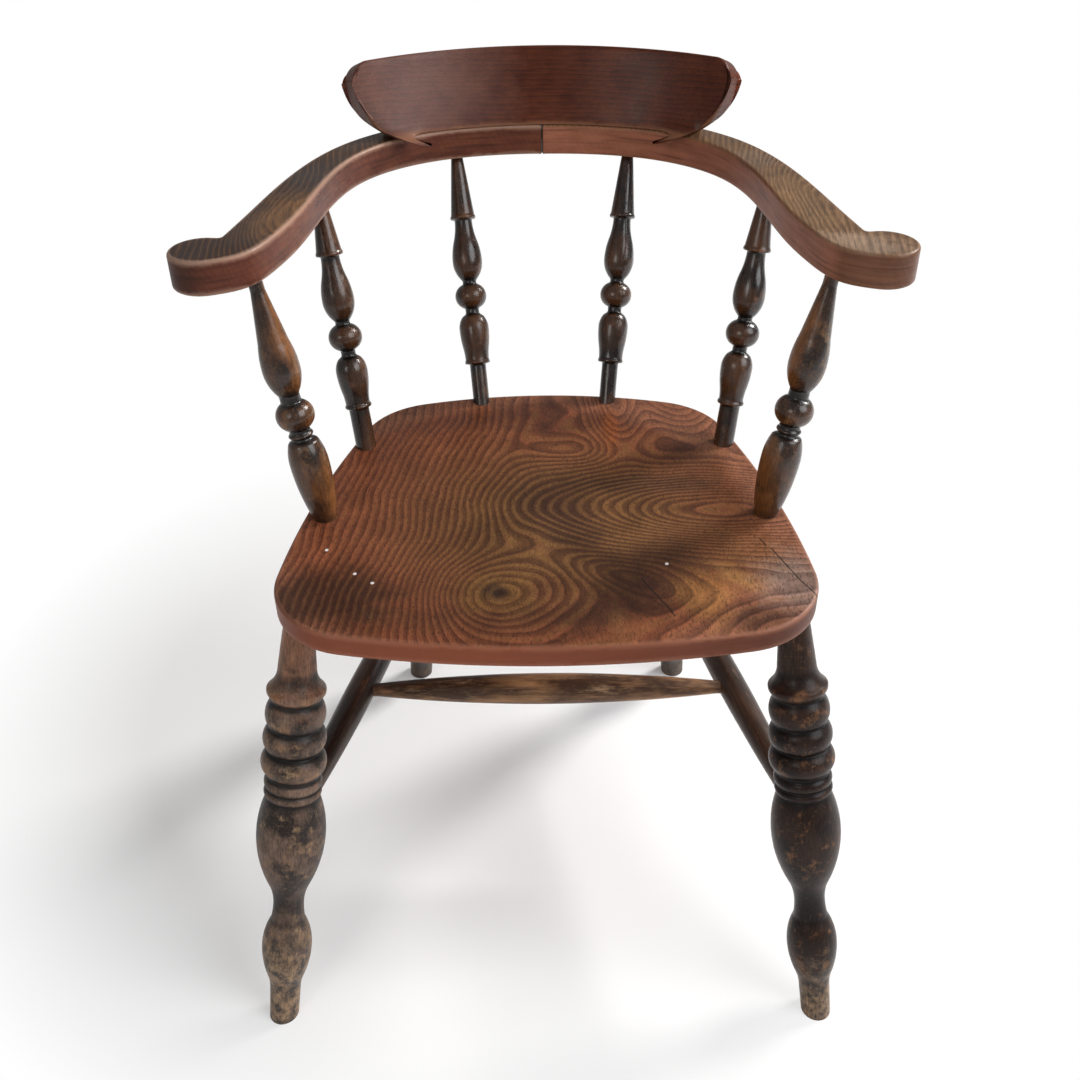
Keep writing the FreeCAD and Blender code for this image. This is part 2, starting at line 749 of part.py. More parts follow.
def bow_outline(side):
    """One half's inner curve, round paw and outer curve, in order from the joint."""
    back = at(mm("halves_gap") / 2, mm("bow_inner_back"))
    flat = at(mm("bow_flat_half"), back.y - mm("bow_flat_drop"))
    at_side = at(mm("side_high_x") - mm("bow_side_band") / 2, mm("side_high_y"))
    corner = at(at_side.x - mm("bow_corner_inset"), back.y - mm("bow_corner_drop"))
    at_post = at(mm("post_high_x") - mm("arm_band") / 2, mm("post_high_y"))
    along_arm = at_side + (at_post - at_side) * mm("arm_straight_share")
    along_arm.x = along_arm.x - mm("arm_hollow")
    paw = at(mm("post_high_x") + mm("paw_out"), mm("post_high_y") - mm("paw_ahead"))
    throat = at(paw.x - mm("throat_in"), paw.y - mm("throat_ahead"))
    throat_angle = math.radians(mm("paw_throat_angle"))
    notch_angle = math.radians(mm("paw_notch_angle"))
    circle = Part.Circle(paw, UP, mm("paw_radius"))
    round_end = Part.ArcOfCircle(circle, throat_angle, notch_angle)

    inner_points = [back, flat, corner, at_side, along_arm, at_post, throat, round_end.StartPoint]
    paw_heading = at(-math.sin(throat_angle), math.cos(throat_angle))
    inner = smooth(inner_points, {0: ALONG_X, len(inner_points) - 1: paw_heading})
    outer_points = []
    for point, band in zip(inner_points, ("back", "flat", "corner", "side", "arm")):
        heading = inner.tangent(inner.parameter(point))[0]
        name = "arm_band" if band == "arm" else "bow_%s_band" % band
        outer_points.append(point + at(-heading.y, heading.x) * mm(name))
    outer_points.append(round_end.EndPoint)
    outer = smooth(outer_points, {0: ALONG_X})
    if side < 0:
        inner.mirror(at(0, 0), at(0, 1))
        outer.mirror(at(0, 0), at(0, 1))
        circle = Part.Circle(at(-paw.x, paw.y), UP, mm("paw_radius"))
        round_end = Part.ArcOfCircle(circle, math.pi - notch_angle, math.pi - throat_angle)
    return inner, round_end, outer


def build_bow_half(label, side):
    body = new_body(label)
    sketch = new_sketch(body, label + "_outline", "XY_Plane")
    inner, round_end, outer = bow_outline(side)
    joint = Part.LineSegment(outer.StartPoint, inner.StartPoint)
    for curve in (inner, round_end, outer, joint):
        index = sketch.addGeometry(curve)
        sketch.addConstraint(Sketcher.Constraint("Block", index))
    board = body.newObject("PartDesign::Pad", label + "_board")
    board.Profile = sketch
    board.setExpression("Length", "Sizes.bow_thickness")
    doc.recompute()
    notch = body.newObject("PartDesign::Fillet", label + "_notch")
    notch.Base = (board, [nearest_upright(board.Shape, outer.EndPoint)])
    notch.setExpression("Radius", "Sizes.paw_notch_radius")
    doc.recompute()
    arris = body.newObject("PartDesign::Fillet", label + "_arris")
    arris.Base = (notch, bow_rims(notch.Shape))
    arris.setExpression("Radius", "Sizes.bow_arris")
    doc.recompute()

    body.Placement = FreeCAD.Placement(UP * mm("bow_underside"), FreeCAD.Rotation())
    for which in ("post", "side", "back"):
        low, high = spindle_axis(side, which)
        end = high + (high - low).normalize() * (mm("bow_tenon_length") + mm("end_clearance"))
        drill(body, "%s_%s_socket" % (label, which), aimed(end, low),
              which + "_top_dia", "Sizes.bow_tenon_length * 2")
    centre = bow_dowel_centre()
    inner_end = centre + ALONG_X * side * (mm("bow_dowel_reach") + mm("end_clearance"))
    drill(body, label + "_joint_hole", aimed(inner_end, centre), "bow_dowel_dia", "Sizes.bow_dowel_length")
    for name, foot in crest_dowel_feet(side).items():
        start = foot - crest_lean() * (mm("crest_dowel_reach") + mm("end_clearance"))
        drill(body, "%s_%s_crest_hole" % (label, name), aimed(start, foot),
              "crest_dowel_dia", "Sizes.crest_dowel_length")
    return body


def nearest_upright(shape, point):
    """Name of the upright edge nearest to a point in plan."""
    choice = [(math.hypot(edge.CenterOfMass.x - point.x, edge.CenterOfMass.y - point.y), number)
              for number, edge in enumerate(shape.Edges, start=1) if upright(edge)]
    return "Edge%d" % min(choice)[1]


def upright(edge):
    return edge.BoundBox.XLength < mm("end_clearance") and edge.BoundBox.YLength < mm("end_clearance")


def bow_rims(shape):
    """Names of the top and underside edges, but for those of the sawn joint."""
    names = []
    for number, edge in enumerate(shape.Edges, start=1):
        at_joint = abs(edge.CenterOfMass.x) < mm("halves_gap")
        if not upright(edge) and not at_joint:
            names.append("Edge%d" % number)
    return names


def bow_dowel_centre():
    across = mm("bow_inner_back") + mm("bow_back_band") / 2
    return FreeCAD.Vector(0, across, mm("bow_underside") + mm("bow_thickness") / 2)


# Crest rail: a curved band leaning back, with flared and rounded ends.
def crest_lean():
    lean = math.radians(mm("crest_lean_angle"))
    return FreeCAD.Vector(0, math.sin(lean), math.cos(lean))


def crest_dowel_feet(side):
    """Where the crest's dowels cross the top of the bow on one side."""
    middle = mm("crest_radius") + mm("crest_thickness") / 2
    centre_y = mm("bow_inner_back") - mm("crest_radius")
    feet = {}
    for name in ("near", "far"):
        x = mm("crest_dowel_" + name)
        feet[name] = FreeCAD.Vector(side * x, centre_y + math.sqrt(middle ** 2 - x ** 2), mm("bow_top"))
    return feet


def band_sketch():
    """The crest's plan at the top of the bow: two arcs about one centre."""
    sketch = doc.addObject("Sketcher::SketchObject", "crest_plan")
    sketch.Placement.Base = UP * mm("bow_top")
    sketch.setExpression("Placement.Base.z", "Sizes.bow_top")
    centre = at(0, mm("bow_inner_back") - mm("crest_radius"))
    reach = mm("crest_half_width") + mm("crest_thickness") * 2
    corners = []
    for name in ("crest_radius", "crest_back_radius"):
        radius = mm(name)
        y = centre.y + math.sqrt(radius ** 2 - reach ** 2)
        corners.append((at(reach, y), at(-reach, y)))
        sketch.addGeometry(arc_about(centre, *corners[-1])[0])
    for near, far in zip(*corners):
        sketch.addGeometry(Part.LineSegment(near, far))
    sketch.addConstraint(Sketcher.Constraint("PointOnObject", 0, 3, -2))
    sketch.addConstraint(Sketcher.Constraint("Coincident", 1, 3, 0, 3))
    bind(sketch, "DistanceY", (-1, 1, 0, 3), centre.y, "Sizes.bow_inner_back - Sizes.crest_radius")
    bind(sketch, "Radius", (0,), mm("crest_radius"), "Sizes.crest_radius")
    bind(sketch, "Radius", (1,), mm("crest_back_radius"), "Sizes.crest_back_radius")
    formula = "Sizes.crest_half_width + Sizes.crest_thickness * 2"
    for arc in (0, 1):
        bind(sketch, "DistanceX", (-1, 1, arc, 1), reach, formula)
        bind(sketch, "DistanceX", (-1, 1, arc, 2), -reach, "-1 * (%s)" % formula)
    for line, end in ((2, 1), (3, 2)):
        sketch.addConstraint(Sketcher.Constraint("Coincident", line, 1, 0, end))
        sketch.addConstraint(Sketcher.Constraint("Coincident", line, 2, 1, end))
    return sketch


def outline_sketch(name, depth, corner_in, corner_up):
    """The crest's front view in one upright plane, wider the further back.

    Each low corner is an arc that runs straight up where it joins the side.
    """
    sketch = doc.addObject("Sketcher::SketchObject", name)
    turned = FreeCAD.Rotation(ALONG_X, 90)
    sketch.Placement = FreeCAD.Placement(FreeCAD.Vector(0, depth, mm("bow_top")), turned)
    sketch.setExpression("Placement.Base.z", "Sizes.bow_top")
    spread = math.tan(math.radians(mm("crest_flare_angle")))
    half = mm("crest_half_width") + spread * (depth - mm("crest_end_depth"))
    radius = (corner_in ** 2 + corner_up ** 2) / (2 * corner_in)
    low = at(half - corner_in, 0)
    side = at(half, corner_up)
    high = at(half, mm("crest_outline_top"))
    corner = at(half - radius, corner_up)

    def mirrored(point):
        return at(-point.x, point.y)

    edges = [
        arc_about(corner, low, side)[0],
        Part.LineSegment(side, high),
        Part.LineSegment(high, mirrored(high)),
        Part.LineSegment(mirrored(high), mirrored(side)),
        arc_about(mirrored(corner), mirrored(side), mirrored(low))[0],
        Part.LineSegment(mirrored(low), low),
    ]
    for edge in edges:
        number = sketch.addGeometry(edge)
        sketch.addConstraint(Sketcher.Constraint("Block", number))
    return sketch


def crest_ends():
    """A solid as wide as the crest at every depth, with its ends flared and undercut."""
    front = (mm("crest_front_corner_in"), mm("crest_front_corner_up"))
    back = (mm("crest_back_corner_in"), mm("crest_back_corner_up"))
    depth = mm("crest_end_depth")
    ends = doc.addObject("Part::Loft", "crest_ends")
    ends.Sections = [
        outline_sketch("crest_front_view", depth - mm("crest_near_view"), *front),
        outline_sketch("crest_middle_view", depth + mm("crest_far_view"), *back),
        outline_sketch("crest_back_view", depth + mm("crest_half_width"), *back),
    ]
    ends.Solid = True
    ends.Ruled = True
    return ends


def crest_cap():
    """A cone whose side is square to the leaning front face along the crest's top."""
    cap = doc.addObject("Part::Cone", "crest_cap")
    lean = math.tan(math.radians(mm("crest_lean_angle")))
    centre_y = mm("bow_inner_back") - mm("crest_radius") + mm("crest_height") * lean
    cap.Placement.Base = FreeCAD.Vector(0, centre_y, mm("bow_top") - mm("crest_spare"))
    cap.setExpression("Radius1", "Sizes.crest_cap_height / tan(Sizes.crest_lean_angle)")
    cap.Radius2 = 0
    cap.setExpression("Height", "Sizes.crest_cap_height")
    return cap


def depth_in_crest(vertex):
    """How far a point of the crest lies behind its front face."""
    lean = math.tan(math.radians(mm("crest_lean_angle")))
    centre_y = mm("bow_inner_back") - mm("crest_radius") + (vertex.Z - mm("bow_top")) * lean
    return math.hypot(vertex.X, vertex.Y - centre_y) - mm("crest_radius")


def crest_edges(shape, kind):
    """Numbers of the crest's top corner edges, or of its rims."""
    numbers = []
    for number, edge in enumerate(shape.Edges, start=1):
        near, far = (depth_in_crest(edge.Vertexes[end]) for end in (0, -1))
        crossing = abs(near - far) > mm("crest_thickness") / 2
        height = edge.CenterOfMass.z - mm("bow_top")
        if kind == "corners":
            chosen = crossing and height > mm("crest_height") / 2
        else:
            at_base = height < mm("crest_arris") and edge.Length < 2 * mm("crest_thickness")
            chosen = not crossing or at_base
        if chosen:
            numbers.append(number)
    return numbers


def eased(name, base, kind, size):
    """The crest with some of its edges rounded."""
    rounding = doc.addObject("Part::Fillet", name)
    rounding.Base = base
    rounding.Edges = [(number, mm(size), mm(size)) for number in crest_edges(base.Shape, kind)]
    doc.recompute()
    return rounding


def build_crest():
    band = doc.addObject("Part::Extrusion", "crest_band")
    band.Base = band_sketch()
    band.DirMode = "Custom"
    band.Dir = crest_lean()
    band.Solid = True
    band.setExpression("LengthFwd", "Sizes.crest_outline_top * 2")
    band.setExpression("LengthRev", "Sizes.crest_spare")
    blank = doc.addObject("Part::MultiCommon", "crest_blank")
    blank.Shapes = [band, crest_ends(), crest_cap()]
    doc.recompute()
    rounded = eased("crest_corners", blank, "corners", "crest_high_corner")
    finished = eased("crest_rims", rounded, "rims", "crest_arris")
    holes = []
    for side_name, side in SIDES.items():
        for name, foot in crest_dowel_feet(side).items():
            label = "%s_%s_crest_bore" % (side_name, name)
            start = foot - crest_lean() * mm("end_clearance")
            holes.append(round_pin(label, start, crest_lean(),
                                   "Sizes.crest_dowel_dia / 2 + Sizes.fit_clearance",
                                   "Sizes.crest_dowel_reach + 2 * Sizes.end_clearance"))
    bores = doc.addObject("Part::MultiFuse", "crest_bores")
    bores.Shapes = holes
    rail = doc.addObject("Part::Cut", "crest_rail")
    rail.Base = finished
    rail.Tool = bores
    rail.Label = "crest_rail"
    doc.recompute()
    pieces.append(rail)
    return rail


# Dowels: plain pins.
def round_pin(label, start, heading, radius, length):
    pin = doc.addObject("Part::Cylinder", label)
    pin.Label = label
    pin.Placement = FreeCAD.Placement(start, FreeCAD.Rotation(UP, heading))
    pin.setExpression("Radius", radius)
    pin.setExpression("Height", length)
    return pin


def build_dowels():
    for side_name, side in SIDES.items():
        for name, foot in crest_dowel_feet(side).items():
            start = foot - crest_lean() * mm("crest_dowel_reach")
            label = "%s_%s_crest_dowel" % (side_name, name)
            pieces.append(round_pin(label, start, crest_lean(), "Sizes.crest_dowel_dia / 2",
                                    "Sizes.crest_dowel_length"))
    start = bow_dowel_centre() - ALONG_X * mm("bow_dowel_reach")
    pieces.append(round_pin("bow_joint_dowel", start, ALONG_X, "Sizes.bow_dowel_dia / 2",
                            "Sizes.bow_dowel_length"))
    doc.recompute()


# All the pieces of the chair.
build_seat()
for side_name, side in SIDES.items():
    build_bow_half(side_name + "_arm_bow", side)
    build_spindle(side_name + "_arm_post", side, "post")
    build_spindle(side_name + "_side_spindle", side, "side")
    build_spindle(side_name + "_back_spindle", side, "back")
    build_leg(side_name + "_front_leg", side, "front")
    build_leg(side_name + "_back_leg", side, "back")
    build_side_rail(side_name + "_side_stretcher", side)
build_stretcher("cross_stretcher", "cross_rail", cross_point(1), cross_point(-1))
build_crest()
build_dowels()

for item in doc.Objects:
    if "Invalid" in item.State or "Error" in item.State:
        raise RuntimeError(item.Label + " failed: " + item.getStatusString())
os.makedirs("parts", exist_ok=True)
for piece in pieces:
    shape = piece.Shape
    if shape.isNull() or not shape.isValid() or len(shape.Solids) != 1:
        raise RuntimeError(piece.Label + " is not one sound solid")
    shape.Solids[0].exportStep("parts/%s.step" % piece.Label)
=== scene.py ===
import math
import bmesh
import bpy
import numpy as np
from mathutils import Matrix, Vector


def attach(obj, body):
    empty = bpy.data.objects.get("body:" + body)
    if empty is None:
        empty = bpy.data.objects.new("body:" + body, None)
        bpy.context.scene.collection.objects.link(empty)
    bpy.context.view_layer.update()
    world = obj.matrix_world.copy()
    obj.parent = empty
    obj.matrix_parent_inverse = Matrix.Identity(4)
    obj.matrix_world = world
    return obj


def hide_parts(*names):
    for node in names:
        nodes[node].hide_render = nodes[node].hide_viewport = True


# A smoker's bow captains chair: dark turned elm and beech under old, worn polish.
# Metres. X to the sitter's left, Y from front to back, Z up, origin on the floor.
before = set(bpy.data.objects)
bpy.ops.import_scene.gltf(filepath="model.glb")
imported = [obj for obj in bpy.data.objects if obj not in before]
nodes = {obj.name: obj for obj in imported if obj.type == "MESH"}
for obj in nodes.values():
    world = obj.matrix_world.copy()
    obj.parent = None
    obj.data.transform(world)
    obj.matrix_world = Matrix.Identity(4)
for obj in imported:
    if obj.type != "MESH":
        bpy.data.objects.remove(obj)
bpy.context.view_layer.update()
mm = 0.001
print("frame loaded:", len(nodes), "nodes")

# heights shared by the pieces
level = {"seatUnder": 0.421, "seatTop": 0.455, "bowUnder": 0.6895, "bowTop": 0.720}
sides = {"left": 1, "right": -1}
mirror = np.array([-1, 1])


# shapes worked out with numpy
def smoothRow(values, width):
    # moving average with a bell-shaped weight of that many samples, ends held
    reach = int(math.ceil(3 * width))
    weights = np.exp(-0.5 * (np.arange(-reach, reach + 1) / width) ** 2)
    padded = np.pad(values, reach, mode="edge")
    return np.convolve(padded, weights / weights.sum(), mode="valid")


def travelled(x, y):
    # distance gone along a line of points, from its first
    return np.concatenate([[0], np.cumsum(np.hypot(np.diff(x), np.diff(y)))])


def ringFaces(rings, around):
    # quads that join each closed ring of points to the next
    rows = np.arange(rings - 1)[:, None] * around
    cols = np.arange(around)
    after = (cols + 1) % around
    quads = np.stack([rows + cols, rows + after, rows + around + after, rows + around + cols], -1)
    return quads.reshape(-1, 4)


def addMesh(name, points, faces, values):
    # a smooth mesh at the origin from arrays of points and faces, with its point attributes
    mesh = bpy.data.meshes.new(name)
    mesh.from_pydata(points.tolist(), [], faces)
    for key, numbers in values.items():
        kind, part = ("FLOAT", "value") if numbers.ndim == 1 else ("FLOAT_VECTOR", "vector")
        layer = mesh.attributes.new(key, kind, "POINT")
        layer.data.foreach_set(part, np.ascontiguousarray(numbers, np.float32).ravel())
    mesh.shade_smooth()
    mesh.validate()
    mesh.update()
    piece = bpy.data.objects.new(name, mesh)
    bpy.context.scene.collection.objects.link(piece)
    return piece


def settle(piece, material, slotName, *replaced):
    # give a piece its finish, its place on the chair's body and the CAD nodes it stands for
    piece.data.materials.append(material)
    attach(piece, "root")
    if replaced:
        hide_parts(*replaced)
    return piece


# turned work: sample distances, the waver of the hand, and how wide a ridge or a swell is
# (in samples) and how far it stands out where its attribute reaches one
turning = {"step": 0.0006, "sample": 0.0007, "soften": 1.2, "waver": 0.004,
           "ridge": (9, 0.0022), "swell": (40, 0.006), "sitter": (0, -0.05)}


def turningLine(marks):
    # radius against distance along the axis, from marks of stretch, place and diameter in
    # millimetres. A straight stretch is a line, and a leaving or meeting stretch is an arc that
    # runs along the axis at its start or end. A hump is an arc over a level stretch and gives its
    # crown last. An ogee is a leaving arc then a meeting arc, parted at the share given last.
    along, radii = [marks[0][1] * mm], [marks[0][2] * mm / 2]
    step = turning["step"]

    def arcTo(y1, x1, meeting):
        # the arc's centre lies level with its axis-parallel end
        y0, x0 = along[-1], radii[-1]
        across, run = x1 - x0, y1 - y0
        reach = (across ** 2 + run ** 2) / (2 * abs(across))
        t = np.linspace(0, 1, max(int(abs(run) / step), 3) + 1)[1:]
        bend = np.sign(across) * (reach - np.sqrt(reach ** 2 - (run * (1 - t if meeting else t)) ** 2))
        along.extend(y0 + run * t)
        radii.extend(x1 - bend if meeting else x0 + bend)

    for stretch, place, dia, *extra in marks[1:]:
        y0, x0 = along[-1], radii[-1]
        y1, x1 = place * mm, dia * mm / 2
        if stretch == "straight":
            t = np.linspace(0, 1, max(int(max(abs(y1 - y0), abs(x1 - x0)) / step), 1) + 1)[1:]
            along.extend(y0 + (y1 - y0) * t)
            radii.extend(x0 + (x1 - x0) * t)
        elif stretch == "hump":
            half, rise = (y1 - y0) / 2, extra[0] * mm / 2 - x0
            reach = (half ** 2 + rise ** 2) / (2 * rise)
            y = np.linspace(-half, half, max(int((y1 - y0) / step), 6) + 1)[1:]
            along.extend(y0 + half + y)
            radii.extend(x0 + rise - reach + np.sqrt(reach ** 2 - y ** 2))
        elif stretch == "ogee":
            arcTo(y0 + (y1 - y0) * extra[0], x0 + (x1 - x0) * extra[0], False)
            arcTo(y1, x1, True)
        else:
            arcTo(y1, x1, stretch == "meeting")
    return np.array(along), np.array(radii)


def addTurning(name, marks, low, high, around, seed):
    # a profile turned about the line from low to high: a radius r at each distance s, times a
    # waver round the circle, with a pole point at each end and attributes for grain and wear
    along, radii = turningLine(marks)
    gone = travelled(along, radii)
    count = int(gone[-1] / turning["sample"])
    even = np.linspace(0, gone[-1], count)
    s = smoothRow(np.interp(even, gone, along), turning["soften"])
    r = smoothRow(np.interp(even, gone, radii), turning["soften"])
    angle = np.linspace(0, 2 * np.pi, around, endpoint=False)
    waver = (np.sin(2 * angle + s[:, None] * 31 + seed)
             + 0.6 * np.sin(3 * angle - s[:, None] * 53 + 2 * seed))
    ring = r[:, None] * (1 + turning["waver"] * waver)
    z = np.repeat(s[:, None], around, axis=1)
    local = np.stack([ring * np.cos(angle), ring * np.sin(angle), z], -1).reshape(-1, 3)
    local = np.concatenate([local, [[0, 0, s[0]], [0, 0, s[-1]]]])
    low, high = np.array(low), np.array(high)
    axis = (high - low) / np.linalg.norm(high - low)
    side = np.cross([0, 1, 0], axis)
    side /= np.linalg.norm(side)
    third = np.cross(axis, side)
    world = low + local @ np.stack([side, third, axis])
    # what would go through the floor is pushed up along the axis to stand on it
    under = world[:, 2] < 0
    world[under] -= world[under, 2:] / axis[2] * axis
    first, last = count * around, count * around + 1
    cols = np.arange(around)
    after = (cols + 1) % around
    top = first - around
    caps = [np.stack([np.full(around, first), after, cols], -1),
            np.stack([np.full(around, last), top + cols, top + after], -1)]
    faces = ringFaces(count, around).tolist() + np.concatenate(caps).tolist()
    # how far each point of the ring faces the sitter, who sits over the middle of the seat
    outward = np.cos(angle)[:, None] * side + np.sin(angle)[:, None] * third
    towards = np.array(turning["sitter"]) - (low + high)[:2] / 2
    inward = outward[:, :2] @ (towards / np.linalg.norm(towards))
    values = {
        "inward": np.concatenate([np.tile(inward, count), [0, 0]]),
        "share": np.concatenate([np.repeat(s / s[-1], around), [0, 1]]),
        "grain": local + seed * np.array([0.37, 0.61, 0.23]),
    }
    for key, (width, rise) in (("proud", turning["ridge"]), ("swell", turning["swell"])):
        standing = np.clip((r - smoothRow(r, width)) / rise, -1, 1)
        values[key] = np.concatenate([np.repeat(standing, around), [0, 0]])
    return addMesh(name, world, faces, values)


def named(sizes, marks):
    # marks with each name of a size turned into that size
    return [(stretch, *(sizes.get(value, value) for value in rest)) for stretch, *rest in marks]


leg = {
    "foot": 28, "footTop": 32, "ankle": 30, "bulbMiddle": 86, "bulb": 48.5, "bulbTop": 117, "bulbTopDia": 33,
    "bulbShare": 0.35, "neckAt": 136, "neck": 29.5, "vaseMiddle": 217, "vase": 65, "vaseShare": 0.30,
    "bandStart": 259.5, "bandFoot": 49, "band": 54, "bead": 8, "lip": 11, "quirk": 2.5,
    "ringStart": 283, "ringWidth": 25, "ringQuirk": 48, "rings": (61, 58.5, 55.5),
    "collarGap": 2.5, "collarGapDia": 45, "collarRise": 7, "collar": 54, "collarLip": 4, "collarCove": 20,
    "taper": 35, "tenon": 26.5, "tenonLength": 24, "below": -14, "around": 56,
    "front": ((0.269, -0.294), (0.219, -0.1825)), "back": ((0.171, 0.2185), (0.130, 0.092)),
}


def legMarks(length):
    # the leg's turning from the floor up
    beadEnd = leg["bandStart"] + leg["bead"]
    lipStart = beadEnd + leg["quirk"] / 2
    quirkDia = leg["band"] - 2 * leg["quirk"]
    marks = [
        ("start", "below", "foot"), ("straight", "footTop", "ankle"),
        ("ogee", "bulbMiddle", "bulb", "bulbShare"), ("leaving", "bulbTop", "bulbTopDia"),
        ("meeting", "neckAt", "neck"), ("ogee", "vaseMiddle", "vase", "vaseShare"),
        ("leaving", "bandStart", "bandFoot"), ("hump", beadEnd, "bandFoot", "band"),
        ("straight", lipStart, quirkDia), ("hump", lipStart + leg["lip"], quirkDia, "band"),
        ("straight", "ringStart", "ringQuirk"),
    ]
    at = leg["ringStart"]
    for ring in leg["rings"]:
        at += leg["ringWidth"]
        marks.append(("hump", at, "ringQuirk", ring))
    collar = (("straight", "collarGap", "collarGapDia"), ("straight", "collarRise", "collar"),
              ("straight", "collarLip", "collar"), ("meeting", "collarCove", "taper"))
    for stretch, rise, dia in collar:
        at += leg[rise]
        marks.append((stretch, at, dia))
    marks += [("straight", length, "tenon"), ("straight", length + leg["tenonLength"], "tenon")]
    return named(leg, marks)


post = {
    "foot": 22, "lowMiddle": 57.5, "low": 36.3, "lowEnd": 79, "lowEndDia": 28, "neckStart": 82, "neck": 19,
    "beadStart": 84, "bead": 23.5, "beadWidth": 4, "ballStart": 92, "ball": 35.5, "ballLength": 26,
    "waistEnd": 125.5, "waist": 18.5, "highMiddle": 150, "high": 33.8, "highEnd": 175, "highEndDia": 27.5,
    "topAt": 222, "top": 13, "below": -20, "above": 17, "around": 48,
    "place": ((0.2078, -0.07035), (0.2485, -0.04135)),
}


def postMarks(length):
    # the arm post's turning from the seat up
    beadEnd = post["beadStart"] + post["beadWidth"]
    ballEnd = post["ballStart"] + post["ballLength"]
    return named(post, [
        ("start", "below", "foot"), ("straight", 0, "foot"), ("meeting", "lowMiddle", "low"),
        ("leaving", "lowEnd", "lowEndDia"), ("straight", "neckStart", "neck"),
        ("straight", "beadStart", "neck"), ("hump", beadEnd, "neck", "bead"),
        ("straight", "ballStart", "neck"), ("hump", ballEnd, "neck", "ball"),
        ("straight", "waistEnd", "waist"), ("meeting", "highMiddle", "high"),
        ("leaving", "highEnd", "highEndDia"), ("straight", "topAt", "top"),
        ("straight", length + post["above"], "top"),
    ])


spindle = {
    "lowRing": 40.5, "ringWidth": 4.5, "ring": 27.5, "lowMiddle": 79, "low": 31.8, "lowShare": 0.4,
    "lowEnd": 92, "lowEndDia": 23, "lowNeck": 95, "neck": 14.5, "ballStart": 100.5, "ballLength": 26,
    "ball": 33.5, "highNeck": 130, "highMiddle": 150.5, "high": 31.8, "highShare": 0.5, "highRing": 194,
    "highEndDia": 18.5, "below": -20, "above": 17, "around": 44,
    "side": {"foot": 20.5, "top": 13, "place": ((0.1847, 0.0586), (0.2155, 0.1244))},
    "back": {"foot": 17.5, "top": 11.5, "place": ((0.0688, 0.1505), (0.091, 0.2665))},
}


def spindleMarks(which, length):
    # the ringed spindle's turning from the seat up
    return named({**spindle, **spindle[which]}, [
        ("start", "below", "foot"), ("straight", "lowRing", "foot"),
        ("hump", spindle["lowRing"] + spindle["ringWidth"], "foot", "ring"),
        ("ogee", "lowMiddle", "low", "lowShare"), ("leaving", "lowEnd", "lowEndDia"),
        ("straight", "lowNeck", "neck"), ("straight", "ballStart", "neck"),
        ("hump", spindle["ballStart"] + spindle["ballLength"], "neck", "ball"),
        ("straight", "highNeck", "neck"), ("meeting", "highMiddle", "high"),
        ("ogee", "highRing", "highEndDia", "highShare"),
        ("hump", spindle["highRing"] + spindle["ringWidth"], "highEndDia", "ring"),
        ("straight", length, "top"), ("straight", length + spindle["above"], "top"),
    ])


rail = {
    "height": 0.217, "side": {"end": 21, "middle": 30, "plain": 44, "stop": 8, "around": 40},
    "cross": {"end": 14, "middle": 33, "plain": 19, "stop": 1.5, "around": 48, "share": 0.47},
}


def railMarks(kind, length):
    # plain ends and one long swell
    size = rail[kind]
    return named(size, [
        ("start", "stop", "end"), ("straight", "plain", "end"), ("meeting", length / 2, "middle"),
        ("leaving", length - size["plain"], "end"), ("straight", length - size["stop"], "end"),
    ])


# sawn boards: a closed outline with rounded arrises, and a cap grid on each face
def splineThrough(knots, startHeading, endHeading=None, count=1200):
    # cubic spline through the knots by chord length, its ends along the headings, or without
    # bend at the last knot where no heading is given
    knots = np.array(knots, float)
    t = travelled(*knots.T)
    chord = np.diff(t)
    n = len(t)
    matrix = np.zeros((n, n))
    right = np.zeros((n, 2))
    for i in range(1, n - 1):
        h0, h1 = chord[i - 1], chord[i]
        matrix[i, i - 1:i + 2] = (h1, 2 * (h0 + h1), h0)
        right[i] = 3 * ((knots[i + 1] - knots[i]) / h1 * h0 + (knots[i] - knots[i - 1]) / h0 * h1)
    matrix[0, 0] = matrix[-1, -1] = 1
    right[0] = startHeading
    if endHeading is None:
        matrix[-1, -2:] = (1, 2)
        right[-1] = 3 * (knots[-1] - knots[-2]) / chord[-1]
    else:
        right[-1] = endHeading
    slopes = np.linalg.solve(matrix, right)
    at = np.linspace(0, t[-1], count)
    k = np.clip(np.searchsorted(t, at, side="right") - 1, 0, n - 2)
    h = (t[k + 1] - t[k])[:, None]
    u = (at - t[k])[:, None] / h
    return ((2 * u ** 3 - 3 * u ** 2 + 1) * knots[k] + (u ** 3 - 2 * u ** 2 + u) * h * slopes[k]
            + (3 * u ** 2 - 2 * u ** 3) * knots[k + 1] + (u ** 3 - u ** 2) * h * slopes[k + 1])


def spacedOut(line, count):
    # the same line at even distances
    gone = travelled(*line.T)
    even = np.linspace(0, gone[-1], count)
    return np.stack([np.interp(even, gone, line[:, 0]), np.interp(even, gone, line[:, 1])], -1)


def inwardNormals(outline):
    # unit normals of a closed outline, pointing to its inside
    heading = np.roll(outline, -1, axis=0) - np.roll(outline, 1, axis=0)
    heading /= np.maximum(np.linalg.norm(heading, axis=1, keepdims=True), 1e-9)
    normal = np.stack([-heading[:, 1], heading[:, 0]], -1)
    x, y = outline.T
    area = np.sum(x * np.roll(y, -1) - np.roll(x, -1) * y)
    return normal if area > 0 else -normal


def patchBetween(front, back, start, end):
    # a grid of points inside four border lines: the sum of both straight blends less the corners'
    u = np.linspace(0, 1, len(front))[:, None, None]
    v = np.linspace(0, 1, len(start))[None, :, None]
    corners = (1 - u) * ((1 - v) * front[0] + v * back[0]) + u * ((1 - v) * front[-1] + v * back[-1])
    return (1 - v) * front[:, None] + v * back[:, None] + (1 - u) * start[None] + u * end[None] - corners


